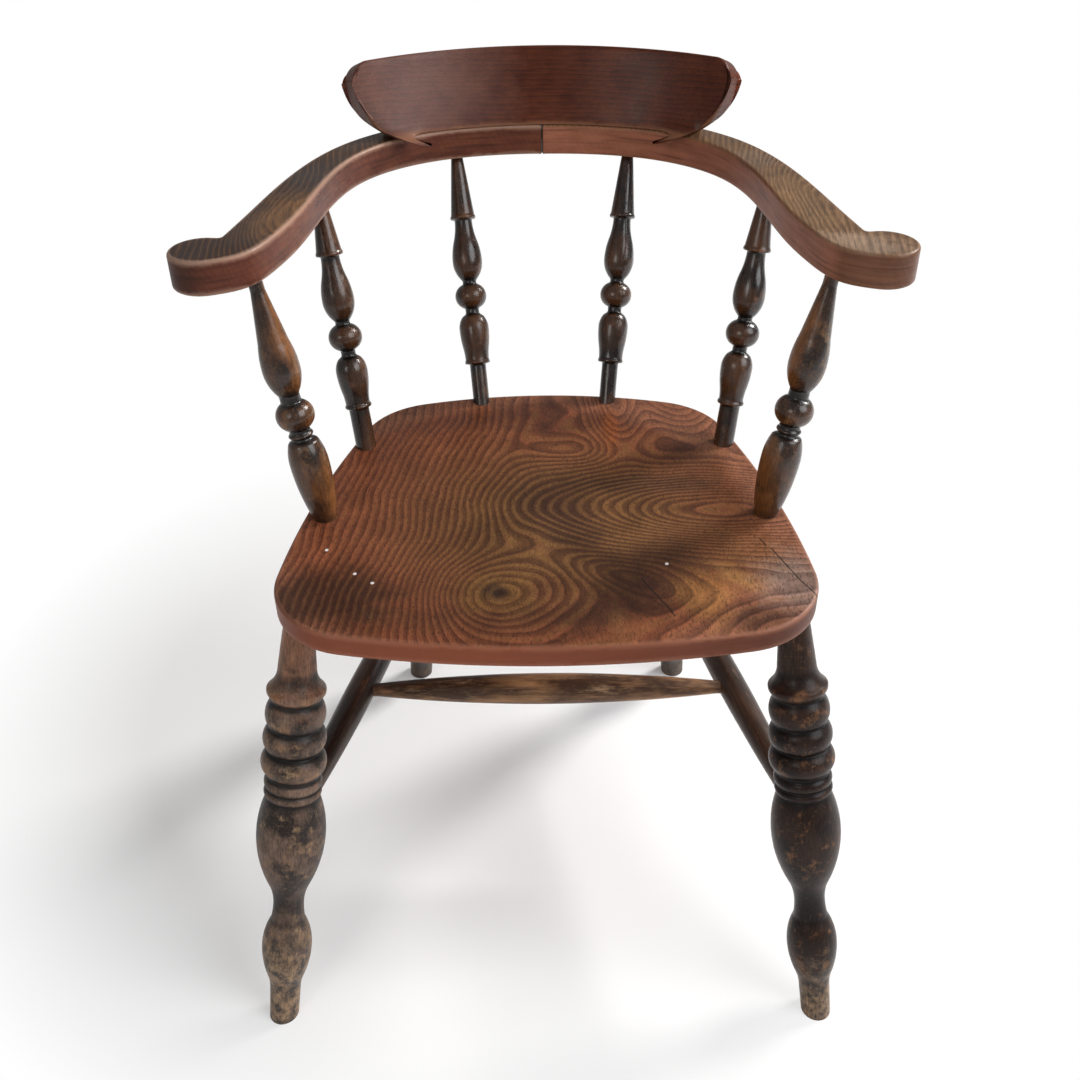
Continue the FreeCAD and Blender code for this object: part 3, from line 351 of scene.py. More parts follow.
def addBoard(name, front, back, start, end, rings, place, wearWidth, sideFade=0.003):
    # front and back run side by side from the start line to the end line, in plan.
    # rings: (inset, height) from the rim of the lower face, up the edge, to that of the upper.
    # place turns plan x, plan y and height into the point in the chair.
    # arris is one at the rounded edges and falls off over wearWidth. side is one on the edge and
    # the lower face, and nothing on the upper.
    n, m = len(front), len(end)
    outline = np.concatenate([front, end[1:-1], back[::-1], start[1:-1][::-1]])
    around = len(outline)
    rings = np.array(rings)
    plan = (outline + inwardNormals(outline) * rings[:, 0, None, None]).reshape(-1, 2)
    gone = travelled(*rings.T)
    rim = np.minimum(np.abs(gone - gone[2]), np.abs(gone - gone[-3]))
    wall = np.clip((gone[-2] - gone) / sideFade, 0, 1)
    faces, plans, heights = [ringFaces(len(rings), around)], [plan], [np.repeat(rings[:, 1], around)]
    rims, walls = [np.repeat(rim, around)], [np.repeat(wall, around)]
    loop = np.arange(around)
    frontRow, endRow = loop[:n], loop[n - 1:n + m - 1]
    backRow = loop[n + m - 2:2 * n + m - 2][::-1]
    startRow = np.concatenate([loop[:1], loop[2 * n + m - 2:][::-1], backRow[:1]])
    v, u = np.linspace(0, 1, m)[None, :], np.linspace(0, 1, n)[:, None]
    caps = ((0, gone[2], 1.0), (len(rings) - 1, gone[-1] - gone[-3], 0.0))
    for number, (ring, fromArris, onSide) in enumerate(caps):
        layer = plan[ring * around:(ring + 1) * around]
        cap = patchBetween(layer[frontRow], layer[backRow], layer[startRow], layer[endRow])
        index = len(plan) + number * n * m + np.arange(n * m).reshape(n, m)
        index[:, 0], index[:, -1] = ring * around + frontRow, ring * around + backRow
        index[0, :], index[-1, :] = ring * around + startRow, ring * around + endRow
        quads = np.stack([index[:-1, :-1], index[1:, :-1], index[1:, 1:], index[:-1, 1:]], -1)
        faces.append(quads.reshape(-1, 4))
        width = np.linalg.norm(layer[backRow] - layer[frontRow], axis=1)[:, None]
        depth = np.linalg.norm(layer[endRow[m // 2]] - layer[startRow[m // 2]])
        nearest = np.minimum(np.minimum(v, 1 - v) * width, np.minimum(u, 1 - u) * depth)
        plans.append(cap.reshape(-1, 2))
        heights.append(np.full(n * m, rings[ring, 1]))
        rims.append((nearest + fromArris).ravel())
        walls.append(np.full(n * m, onSide))
    points = place(*np.concatenate(plans).T, np.concatenate(heights))
    values = {"arris": np.exp(-(np.concatenate(rims) / wearWidth) ** 2), "side": np.concatenate(walls)}
    piece = addMesh(name, points, np.concatenate(faces).tolist(), values)
    closeSeams(piece.data)
    return piece


def closeSeams(mesh):
    # drop unused points, close seams and turn every face outwards
    shell = bmesh.new()
    shell.from_mesh(mesh)
    loose = [point for point in shell.verts if not point.link_faces]
    bmesh.ops.delete(shell, geom=loose, context="VERTS")
    bmesh.ops.remove_doubles(shell, verts=shell.verts, dist=1e-6)
    bmesh.ops.dissolve_degenerate(shell, edges=shell.edges, dist=1e-7)
    bmesh.ops.recalc_face_normals(shell, faces=shell.faces)
    shell.to_mesh(mesh)
    shell.free()
    mesh.shade_smooth()
    mesh.update()


def arrisRings(thickness, radius, bevel=None, steps=4, wall=6):
    # inset and height from the underside's inner rim, round the lower arris or up its bevel,
    # up the wall and round the upper arris
    turn = np.linspace(0, np.pi / 2, steps + 1)
    if bevel:
        rings = [(bevel[0] * share, bevel[1] * (1 - share)) for share in (1, 0.5, 0)]
    else:
        rings = [(radius * (1 - math.sin(a)), radius * (1 - math.cos(a))) for a in turn]
    rings += [(0, h) for h in np.linspace(rings[-1][1], thickness - radius, wall + 1)[1:-1]]
    rings += [(radius * (1 - math.cos(a)), thickness - radius + radius * math.sin(a)) for a in turn]
    return rings


def circlePoints(centre, radius, first, last, count):
    # points on a circle between two angles in degrees
    angle = np.radians(np.linspace(first, last, count))
    return np.array(centre) + radius * np.stack([np.cos(angle), np.sin(angle)], -1)


# seat
seat = {
    "front": -0.2625, "back": 0.1645, "halfWidth": 0.241, "widestY": -0.2385, "frontBow": 0.935,
    "backBow": 0.500, "sideBow": 1.050, "corner": 0.080, "arris": 0.003, "bevelWidth": 0.020,
    "bevelHeight": 0.014, "dishDepth": 0.009, "dishSteepness": 0.060, "dishHalfWidth": 0.192,
    "dishHalfDepth": 0.178, "dishY": -0.0635, "dishSoftness": 0.0006, "wearWidth": 0.005,
    "pointsAcross": 170, "pointsDeep": 140,
}


def cornerBetween(centreA, radiusA, centreB, radiusB, radius):
    # centre of the round that touches two circles from inside, on the right-hand side
    a, b = np.array(centreA), np.array(centreB)
    ra, rb = radiusA - radius, radiusB - radius
    gap = np.linalg.norm(b - a)
    along = (ra ** 2 - rb ** 2 + gap ** 2) / (2 * gap)
    across = math.sqrt(ra ** 2 - along ** 2)
    unit = (b - a) / gap
    turned = np.array([-unit[1], unit[0]]) * across
    return max((a + unit * along + turned, a + unit * along - turned), key=lambda centre: centre[0])


def angleOf(point, centre):
    # direction of a point from a centre, in degrees
    return math.degrees(math.atan2(point[1] - centre[1], point[0] - centre[0]))


def seatLines():
    # the plank's four sides, each from the middle of one round corner to the middle of the next
    r, sideBow = seat["corner"], seat["sideBow"]
    sideCentre = (seat["halfWidth"] - sideBow, seat["widestY"])
    halves, corners = [], []
    for edge, outwards in (("front", -1), ("back", 1)):
        bowed, first = seat[edge + "Bow"], 90 * outwards
        centre = (0, seat[edge] - outwards * bowed)
        corner = cornerBetween(centre, bowed, sideCentre, sideBow, r)
        toSide, sideTurn = angleOf(corner, centre), angleOf(corner, sideCentre)
        halfway = (toSide + sideTurn) / 2
        halves.append(np.concatenate([circlePoints(centre, bowed, first, toSide, 60),
                                      circlePoints(corner, r, toSide, halfway, 20)[1:]]))
        corners.append((corner, halfway, sideTurn))
    (low, lowHalfway, sideLow), (high, highHalfway, sideHigh) = corners
    side = np.concatenate([circlePoints(low, r, lowHalfway, sideLow, 20),
                           circlePoints(sideCentre, sideBow, sideLow, sideHigh, 60)[1:],
                           circlePoints(high, r, sideHigh, highHalfway, 20)[1:]])
    front, back = (np.concatenate([(half * mirror)[::-1], half[1:]]) for half in halves)
    across, deep = seat["pointsAcross"], seat["pointsDeep"]
    return (spacedOut(front, across), spacedOut(back, across),
            spacedOut(side * mirror, deep), spacedOut(side, deep))


def placeSeat(x, y, height):
    # the dish is the low cap of an ellipsoid, let down into the upper face with a soft edge
    steep, deep = seat["dishSteepness"], seat["dishDepth"]
    reach = math.sqrt(1 - (1 - deep / steep) ** 2)
    a, b = seat["dishHalfWidth"] / reach, seat["dishHalfDepth"] / reach
    inside = np.clip(1 - (x / a) ** 2 - ((y - seat["dishY"]) / b) ** 2, 0, None)
    depth = steep * np.sqrt(inside) - (steep - deep)
    depth = 0.5 * (depth + np.sqrt(depth ** 2 + seat["dishSoftness"] ** 2))
    upper = np.clip(height / (level["seatTop"] - level["seatUnder"]) * 2 - 1, 0, 1) ** 2
    return np.stack([x, y, level["seatUnder"] + height - depth * upper], -1)


# sawn bow
bow = {
    "gap": 0.00003, "innerBack": 0.2615, "flat": (0.11206, 0.2395), "corner": (0.1715, 0.1885),
    "side": (0.197, 0.1244), "post": (0.226, -0.04135), "armShare": 0.75, "armHollow": 0.003,
    "paw": (0.2805, -0.06885), "pawRadius": 0.02749, "throat": (0.247, -0.08235), "throatAngle": -108,
    "notchAngle": 112, "noseAngle": 2, "noseHalf": 10, "bands": (0.038, 0.037, 0.034, 0.037, 0.045),
    "arris": 0.003, "wearWidth": 0.004, "notchSoften": 1.4, "notchReach": 5.0, "points": 230,
    "pawPoints": 26, "pointsAcross": 13,
}


def pawPoints(first, last, count):
    # points round the paw, between two angles
    return circlePoints(bow["paw"], bow["pawRadius"], first, last, count)


def bowLines():
    # inner and outer edge of the left half, each run on round the paw to the nose
    count, across = bow["points"], bow["pointsAcross"]
    side, at = np.array(bow["side"]), np.array(bow["post"])
    alongArm = side + (at - side) * bow["armShare"] - np.array([bow["armHollow"], 0])
    intoPaw = pawPoints(bow["throatAngle"], bow["throatAngle"], 1)[0]
    knots = [(bow["gap"], bow["innerBack"]), bow["flat"], bow["corner"], bow["side"], alongArm, bow["post"],
             bow["throat"], intoPaw]
    angle = math.radians(bow["throatAngle"])
    inner = splineThrough(knots, (1, 0), (-math.sin(angle), math.cos(angle)))
    outerKnots = []
    for knot, band in zip(knots, bow["bands"]):
        nearest = int(np.argmin(np.hypot(*(inner - np.array(knot)).T)))
        low, high = max(nearest - 2, 0), min(nearest + 2, len(inner) - 1)
        heading = (inner[high] - inner[low]) / np.linalg.norm(inner[high] - inner[low])
        outerKnots.append(np.array(knot) + np.array([-heading[1], heading[0]]) * band)
    outerKnots[0] = np.array([bow["gap"], bow["innerBack"] + bow["bands"][0]])
    notch = pawPoints(bow["notchAngle"], bow["notchAngle"], 1)[0]
    outer = splineThrough(outerKnots + [notch], (1, 0))
    noseLow, noseHigh = bow["noseAngle"] - bow["noseHalf"], bow["noseAngle"] + bow["noseHalf"]
    innerRound = pawPoints(bow["throatAngle"], noseLow, bow["pawPoints"])
    outerRound = pawPoints(bow["notchAngle"], noseHigh, bow["pawPoints"])
    front = np.concatenate([spacedOut(inner, count), innerRound[1:]])
    back = np.concatenate([spacedOut(outer, count), outerRound[1:]])
    # the notch between arm and paw is eased
    softened = np.stack([smoothRow(line, bow["notchSoften"]) for line in back.T], -1)
    eased = np.exp(-((np.arange(len(back)) - count) / bow["notchReach"]) ** 2)[:, None]
    back = back * (1 - eased) + softened * eased
    start = front[0] + (back[0] - front[0]) * np.linspace(0, 1, across)[:, None]
    return front, back, start, pawPoints(noseLow, noseHigh, across)


def placeBow(x, y, height):
    # level: the plan at its height above the bow's underside
    return np.stack([x, y, level["bowUnder"] + height], -1)


# crest rail
crest = {
    "height": 0.074, "thickness": 0.025, "radius": 0.300, "lean": 19, "halfWidth": 0.1855, "flare": 35,
    "endBehind": 0.0201, "nearView": 0.014, "farView": 0.025, "frontCorner": (0.058, 0.058),
    "backCorner": (0.002, 0.050), "highCorner": 0.022, "arris": 0.003, "wearWidth": 0.004,
    "points": 200, "pointsUp": 15,
}
crestLean = math.tan(math.radians(crest["lean"]))
crestCentre = bow["innerBack"] - crest["radius"]
crestEnd = crestCentre + math.sqrt(crest["radius"] ** 2 - crest["halfWidth"] ** 2) + crest["endBehind"]


def crestHalf(rise, y):
    # half the crest's width at a height and a depth: wider the further back, and the low
    # corner is an arc whose width and height change from the near view to the far one
    share = np.clip((y - crestEnd + crest["nearView"]) / (crest["nearView"] + crest["farView"]), 0, 1)
    inset, up = (near + (far - near) * share for near, far in zip(crest["frontCorner"], crest["backCorner"]))
    radius = (inset ** 2 + up ** 2) / (2 * inset)
    below = np.clip(up - rise, 0, None)
    half = crest["halfWidth"] + (y - crestEnd) * math.tan(math.radians(crest["flare"]))
    return half - radius + np.sqrt(radius ** 2 - below ** 2)


def crestLines():
    # the front view at the end's own depth: lower line, upper line and two short upright ends
    height, high = crest["height"], crest["highCorner"]
    rise = np.linspace(0, crest["frontCorner"][1], 60)
    side = np.stack([crestHalf(rise, crestEnd), rise], -1)
    corner = circlePoints((side[-1, 0] - high, height - high), high, 0, 90, 40)
    lower = spacedOut(np.concatenate([(side * mirror)[::-1], side]), crest["points"])
    upper = spacedOut(np.concatenate([corner * mirror, corner[::-1]]), crest["points"])
    end = lower[-1] + (upper[-1] - lower[-1]) * np.linspace(0, 1, crest["pointsUp"])[:, None]
    return lower, upper, end * mirror, end


def placeCrest(x, rise, depth):
    # a band about an upright axis that leans back with height, its top square to its front
    lowered = rise * (1 - depth * crestLean / crest["height"])
    radius = crest["radius"] + depth
    reference = crestHalf(rise, crestEnd)
    moved = x
    for _ in range(6):
        y = crestCentre + np.sqrt(radius ** 2 - moved ** 2) + lowered * crestLean
        moved = x * crestHalf(lowered, y) / reference
    return np.stack([moved, y, level["bowTop"] + lowered], -1)


# finishes
class Signal:
    # one output of a node: arithmetic with it puts a Math node, and a name in brackets picks
    # another output of the same node
    def __init__(self, socket):
        self.socket = socket

    def __getitem__(self, key):
        return Signal(self.socket.node.outputs[key])

    def __add__(self, other):
        return calc("ADD", self, other)

    def __sub__(self, other):
        return calc("SUBTRACT", self, other)

    def __mul__(self, other):
        return calc("MULTIPLY", self, other)

    def __truediv__(self, other):
        return calc("DIVIDE", self, other)


def put(kind, inputs=None, tree=None, **settings):
    # a node whose sockets are linked to signals or set to values. It goes into the tree of its
    # signals, or into the one given where it has none.
    inputs = inputs or {}
    if tree is None:
        tree = next(value.socket.id_data for value in inputs.values() if isinstance(value, Signal))
    node = tree.nodes.new("ShaderNode" + kind)
    for key, value in settings.items():
        setattr(node, key, value)
    for key, value in inputs.items():
        if isinstance(value, Signal):
            tree.links.new(value.socket, node.inputs[key])
        else:
            node.inputs[key].default_value = value
    return Signal(node.outputs[0]) if node.outputs else None


def calc(operation, *values, clamp=False):
    # a Math node on signals and numbers
    return put("Math", dict(enumerate(values)), operation=operation, use_clamp=clamp)


def vector(operation, *values):
    # a Vector Math node on signals and vectors
    return put("VectorMath", dict(enumerate(values)), operation=operation)


def scaled(signal, amount):
    # a vector or a colour times a number
    return put("VectorMath", {0: signal, "Scale": amount}, operation="SCALE")


def paint(colour):
    # a screen colour of 0 to 255 as the renderer's own
    screen = np.array(colour) / 255
    return tuple(np.where(screen <= 0.04045, screen / 12.92, ((screen + 0.055) / 1.055) ** 2.4)) + (1,)


def blend(amount, first, second):
    # one colour laid over another, each a signal or a screen colour
    first, second = (value if isinstance(value, Signal) else paint(value) for value in (first, second))
    return put("MixRGB", {"Fac": amount, "Color1": first, "Color2": second})


def spread(signal, low, high, toLow=0.0, toHigh=1.0):
    # a value stretched from one range to another, held at its ends
    return put("MapRange", {"Value": signal, "From Min": low, "From Max": high,
                            "To Min": toLow, "To Max": toHigh})


def noise(place, scale, detail=2.0, roughness=0.5):
    return put("TexNoise", {"Vector": place, "Scale": scale, "Detail": detail, "Roughness": roughness})["Fac"]


def stretched(place, scale):
    # a place times a scale of its own along each axis
    return put("Mapping", {"Vector": place, "Scale": scale})


def turnedAbout(place, axis, degrees=90):
    # a place turned about an axis: a quarter turn brings the wood's length along Z
    rotation = [math.radians(degrees) * (axis == each) for each in "XYZ"]
    return put("Mapping", {"Vector": place, "Rotation": rotation})


def ovalReach(place, scale, shift=(0, 0, 0)):
    # distance from an oval's middle, one on the oval itself: the length of the place times a
    # scale plus a shift
    return vector("LENGTH", put("Mapping", {"Vector": place, "Location": shift, "Scale": scale}))["Value"]


def seenFromAbove(place, start):
    # the way from a start to a place, without its height
    return vector("MULTIPLY", vector("SUBTRACT", place, start), (1, 1, 0))


def newGroup(name, **inputs):
    # an empty shader group with named inputs, vectors where their value is one
    group = bpy.data.node_groups.new(name, "ShaderNodeTree")
    for key, value in inputs.items():
        kind = "NodeSocketVector" if isinstance(value, tuple) else "NodeSocketFloat"
        group.interface.new_socket(key, in_out="INPUT", socket_type=kind).default_value = value
    return group, Signal(group.nodes.new("NodeGroupInput").outputs[0])


def closeGroup(group, **outputs):
    # each output of the group from its signal
    for key in outputs:
        group.interface.new_socket(key, in_out="OUTPUT", socket_type="NodeSocketFloat")
    out = group.nodes.new("NodeGroupOutput")
    for key, signal in outputs.items():
        group.links.new(signal.socket, out.inputs[key])
    return group


def makeFibreGroup():
    # fine lengthwise fibres, short dark pores and a slow mottle, all along the grain's Z
    group, given = newGroup("woodFibre", Vector=(0, 0, 0), Length=0.06, Fineness=900.0)
    squeeze = put("CombineXYZ", {"X": 1.0, "Y": 1.0, "Z": given["Length"]})
    along = vector("MULTIPLY", given["Vector"], squeeze)
    pore = noise(along, given["Fineness"] * 1.6, 1.0)
    return closeGroup(group, Fibre=noise(along, given["Fineness"], 3.0, 0.6), Pores=spread(pore, 0.57, 0.70),
                      Mottle=noise(given["Vector"], 24.0, 5.0, 0.62))


def makeHillGroup():
    # a turned oval hill: height times e to the minus squared distance over its half widths
    group, given = newGroup("growthHill", Vector=(0, 0, 0), Centre=(0, 0, 0), Turn=0.0, Size=(1, 1, 1),
                            Height=1.0)
    away = seenFromAbove(given["Vector"], given["Centre"])
    turned = put("VectorRotate", {"Vector": away, "Angle": given["Turn"] * -1.0}, rotation_type="Z_AXIS")
    share = vector("DIVIDE", turned, given["Size"])
    squared = vector("DOT_PRODUCT", share, share)["Value"]
    return closeGroup(group, Hill=calc("EXPONENT", squared * -1.0) * given["Height"])


def makeBandGroup():
    # growth bands from a field that counts years: a slow rise to a dark line, and a pale middle
    group, given = newGroup("growthBands", Field=0.0, Sharpness=3.0)
    year = calc("FRACT", given["Field"])
    rising = calc("POWER", year, given["Sharpness"])
    middle = calc("ABSOLUTE", year - 0.25)
    return closeGroup(group, Dark=rising * spread(year, 0.84, 1.0, 1.0, 0.0),
                      Light=spread(middle, 0.0, 0.22, 1.0, 0.0))


def makeWearGroup():
    # worn patches: a rough noise mask pushed up where the given value is high
    group, given = newGroup("rubbedEdge", Vector=(0, 0, 0), Edge=0.0, Amount=0.5, Scale=60.0)
    patchy = noise(given["Vector"], given["Scale"], 6.0, 0.7)
    return closeGroup(group, Worn=spread(given["Edge"] * given["Amount"] + patchy, 0.56, 0.72))


def makeCrackGroup():
    # a fine line from its start over its reach: one within its width, nothing at twice that
    group, given = newGroup("hairCrack", Vector=(0, 0, 0), Start=(0, 0, 0), Reach=(1, 0, 0), Width=0.0004)
    away = seenFromAbove(given["Vector"], given["Start"])
    gone = vector("DOT_PRODUCT", away, given["Reach"])["Value"]
    whole = vector("DOT_PRODUCT", given["Reach"], given["Reach"])["Value"]
    nearest = scaled(given["Reach"], calc("DIVIDE", gone, whole, clamp=True))
    gap = vector("DISTANCE", away, nearest)["Value"]
    return closeGroup(group, Crack=spread(gap / given["Width"], 1.0, 2.0, 1.0, 0.0))


fibreGroup = makeFibreGroup()
hillGroup = makeHillGroup()
bandGroup = makeBandGroup()
wearGroup = makeWearGroup()
crackGroup = makeCrackGroup()


def useGroup(group, **inputs):
    return put("Group", inputs, node_tree=group)


def fibres(grain, length, fineness):
    return useGroup(fibreGroup, Vector=grain, Length=length, Fineness=fineness)


def bands(field, sharpness):
    return useGroup(bandGroup, Field=field, Sharpness=sharpness)


def wear(place, edge, amount, scale):
    return useGroup(wearGroup, Vector=place, Edge=edge, Amount=amount, Scale=scale)


def hills(place, table):
    # the sum of a table of hills: (x, y), (half widths), turn in degrees, height
    total = None
    for (x, y), (wide, deep), turn, height in table:
        hill = useGroup(hillGroup, Vector=place, Centre=(x, y, 0), Size=(wide, deep, 1),
                        Turn=math.radians(turn), Height=height)
        total = hill if total is None else total + hill
    return total


def cracks(place, width, table):
    # the darkest of a table of cracks at each place, each crack from (x, y) over its reach
    darkest = None
    for start, reach in table:
        crack = useGroup(crackGroup, Vector=place, Start=(*start, 0), Reach=(*reach, 0), Width=width)
        darkest = crack if darkest is None else calc("MAXIMUM", darkest, crack)
    return darkest


def clearedTree(owner):
    # the empty node tree of a material or a world
    owner.use_nodes = True
    owner.node_tree.nodes.clear()
    return owner.node_tree


def newFinish(name):
    # a new material and its empty node tree
    finish = bpy.data.materials.new(name)
    return finish, clearedTree(finish)


def attribute(tree, name, which="Fac"):
    return put("Attribute", tree=tree, attribute_name=name)[which]


def polished(colour, rough, height, look):
    # the surface shader: its colour and roughness, its polish and its relief
    relief = put("Bump", {"Height": height, "Strength": look["relief"], "Distance": look["depth"]})
    surface = put("BsdfPrincipled", {"Base Color": colour, "Roughness": rough, "Normal": relief,
                                     "Specular IOR Level": look["shine"], "Coat Weight": look["coat"],
                                     "Coat Roughness": look["coatRough"]})
    put("OutputMaterial", {0: surface})


def boardFibre(place, fibre, side):
    # the given fibres on the upper face, and level streaks on the edge and underneath
    upright = fibres(stretched(place, (0.05, 0.05, 0.8)), 1.0, 230.0)
    return {key: (upright[key] - fibre[key]) * side + fibre[key] for key in ("Fibre", "Pores", "Mottle")}


def fibreShades(colour, fibre, look):
    # light and dark along the fibres and in patches
    colour = scaled(colour, spread(fibre["Fibre"], 0.34, 0.66, *look["fibreShades"]))
    return scaled(colour, spread(fibre["Mottle"], 0.32, 0.68, *look["mottleShades"]))


def wornArris(tree, place, amount, scale):
    # rubbed patches that keep to the crown of the eased edges
    arris = attribute(tree, "arris")
    return wear(place, arris, amount, scale) * calc("POWER", arris, 2.0)


def boardRough(fibre, look):
    # dullness that follows the mottle
    return spread(fibre["Mottle"], 0.3, 0.7, *look["rough"])


stainLook = {"height": 1.5, "raggedness": 1.6, "sunk": 0.8, "begins": 0.30, "full": 1.15}


def stains(place, ragged, colour, table):
    # soft stains, painted shadows and painted sheen with ragged rims laid over a colour, one after another
    for middle, halfWidths, turn, amount, tint in table:
        patch = hills(place, [(middle, halfWidths, turn, stainLook["height"])])
        broken = ragged * stainLook["raggedness"] + (patch - stainLook["sunk"])
        colour = blend(spread(broken, stainLook["begins"], stainLook["full"]) * amount, colour, tint)
    return colour


# what all turned pieces share, then what each kind has of its own
turnedLook = {
    "foot": 0.0, "footRise": 0.0, "scuffed": 0.0, "amber": 0.0, "streak": 1, "coatRough": 0.16, "relief": 0.4,
    "depth": 0.0006, "honey": (150, 94, 46), "tan": (138, 92, 58), "scuff": (146, 104, 80),
    "footDirt": (70, 62, 58), "footWood": (162, 132, 102), "pore": (24, 17, 14), "dirt": (15, 11, 9),
}
turnedKinds = {
    "rightLeg": {"dark": (44, 34, 30), "brown": (126, 101, 86), "worn": (180, 148, 114), "wear": 0.18,
                 "foot": 1.0, "footRise": 0.15, "scuffed": 1.0, "gloss": 0.42, "shine": 0.25, "coat": 0.05},
    "leftLeg": {"dark": (27, 18, 15), "brown": (50, 33, 26), "worn": (124, 92, 66), "wear": 0.08,
                "foot": 1.0, "footRise": 0.02, "scuffed": 0.1, "gloss": 0.34, "shine": 0.14, "coat": 0.08},
    "backLeg": {"dark": (34, 25, 21), "brown": (62, 44, 34), "worn": (116, 88, 62), "wear": 0.10,
                "foot": 0.25, "scuffed": 0.1, "gloss": 0.42, "shine": 0.25, "coat": 0.05},
    "post": {"dark": (36, 23, 17), "brown": (78, 50, 32), "worn": (140, 102, 62), "wear": 0.10,
             "amber": 0.8, "gloss": 0.26, "shine": 0.4, "streak": 0.7, "coat": 0.25},
    "spindle": {"dark": (22, 14, 12), "brown": (45, 27, 20), "worn": (96, 62, 42), "wear": 0.03,
                "amber": 0.25, "gloss": 0.24, "shine": 0.4, "streak": 0.7, "coat": 0.3},
    "side": {"dark": (40, 29, 24), "brown": (74, 52, 40), "worn": (120, 96, 76), "wear": 0.08,
             "gloss": 0.34, "shine": 0.3, "streak": 0.25, "coat": 0.1},
    "cross": {"dark": (76, 52, 37), "brown": (184, 136, 94), "worn": (190, 160, 124), "wear": 0.16,
              "gloss": 0.45, "shine": 0.25, "streak": 0.25, "coat": 0.05},
}


def wornFoot(tree, look, grain, colour):
    # brown scuffs high on the leg, and a foot bleached and dirtied by the floor
    share = attribute(tree, "share")
    ragged = noise(grain, 60.0, 5.0, 0.65)
    scuffs = spread(share + ragged * 0.5, 1.0, 1.16, 0.0, look["scuffed"])
    colour = blend(scuffs, colour, look["scuff"])
    rise = look["footRise"]
    bleached = spread(share - ragged * 0.34, rise - 0.01, rise - 0.16, 0.0, look["foot"])
    footTone = spread(noise(grain, 95.0, 5.0, 0.7), 0.40, 0.62)
    return blend(bleached, colour, blend(footTone, look["footDirt"], look["footWood"]))


def turnedMaterial(kind):
    # dark polish over brown wood, rubbed through on what stands proud, dirt left in the grooves
    look = {**turnedLook, **turnedKinds[kind]}
    finish, tree = newFinish(kind + "Polish")
    grain = attribute(tree, "grain", "Vector")
    if look["streak"] < 1:
        grain = vector("MULTIPLY", grain, (1.0, 1.0, look["streak"]))
    proud = attribute(tree, "proud")
    fibre = fibres(grain, 0.09, 620.0)
    high = proud * 0.55 + attribute(tree, "swell") * 0.45
    worn = wear(grain, high, look["wear"], 75.0)
    specks = spread(noise(grain, 330.0, 4.0, 0.7), 0.56, 0.70)
    tone = high * 0.14 + fibre["Mottle"]
    colour = blend(spread(tone, 0.44, 0.63), look["dark"], look["brown"])
    if look["amber"]:
        # amber on the side that faces the sitter, and on the lighter mottle
        sitterSideTone = attribute(tree, "inward") * 0.30 + tone
        colour = blend(spread(sitterSideTone, 0.60, 0.92) * look["amber"], colour, look["honey"])
    wornColour = blend(spread(fibre["Mottle"], 0.4, 0.62), look["worn"], look["tan"])
    colour = blend(worn * 0.75, colour, wornColour)
    colour = blend(specks * 0.22, colour, look["worn"])
    if look["foot"]:
        colour = wornFoot(tree, look, grain, colour)
    colour = scaled(colour, spread(fibre["Fibre"], 0.34, 0.66, 0.66, 1.16))
    colour = blend(fibre["Pores"] * 0.5, colour, look["pore"])
    dirt = spread(proud - fibre["Mottle"] * 0.3, -0.20, -0.70, 0.0, 0.9)
    colour = blend(dirt, colour, look["dirt"])
    dull = fibre["Mottle"] * 0.5 + worn * 0.22 + specks * 0.15
    rough = spread(dull, 0.15, 0.6, look["gloss"] - 0.08, look["gloss"] + 0.30)
    height = fibre["Fibre"] * 0.5 + fibre["Mottle"] * 1.6 - worn * 0.45 - fibre["Pores"] * 0.3
    polished(colour, rough, height, look)
    return finish


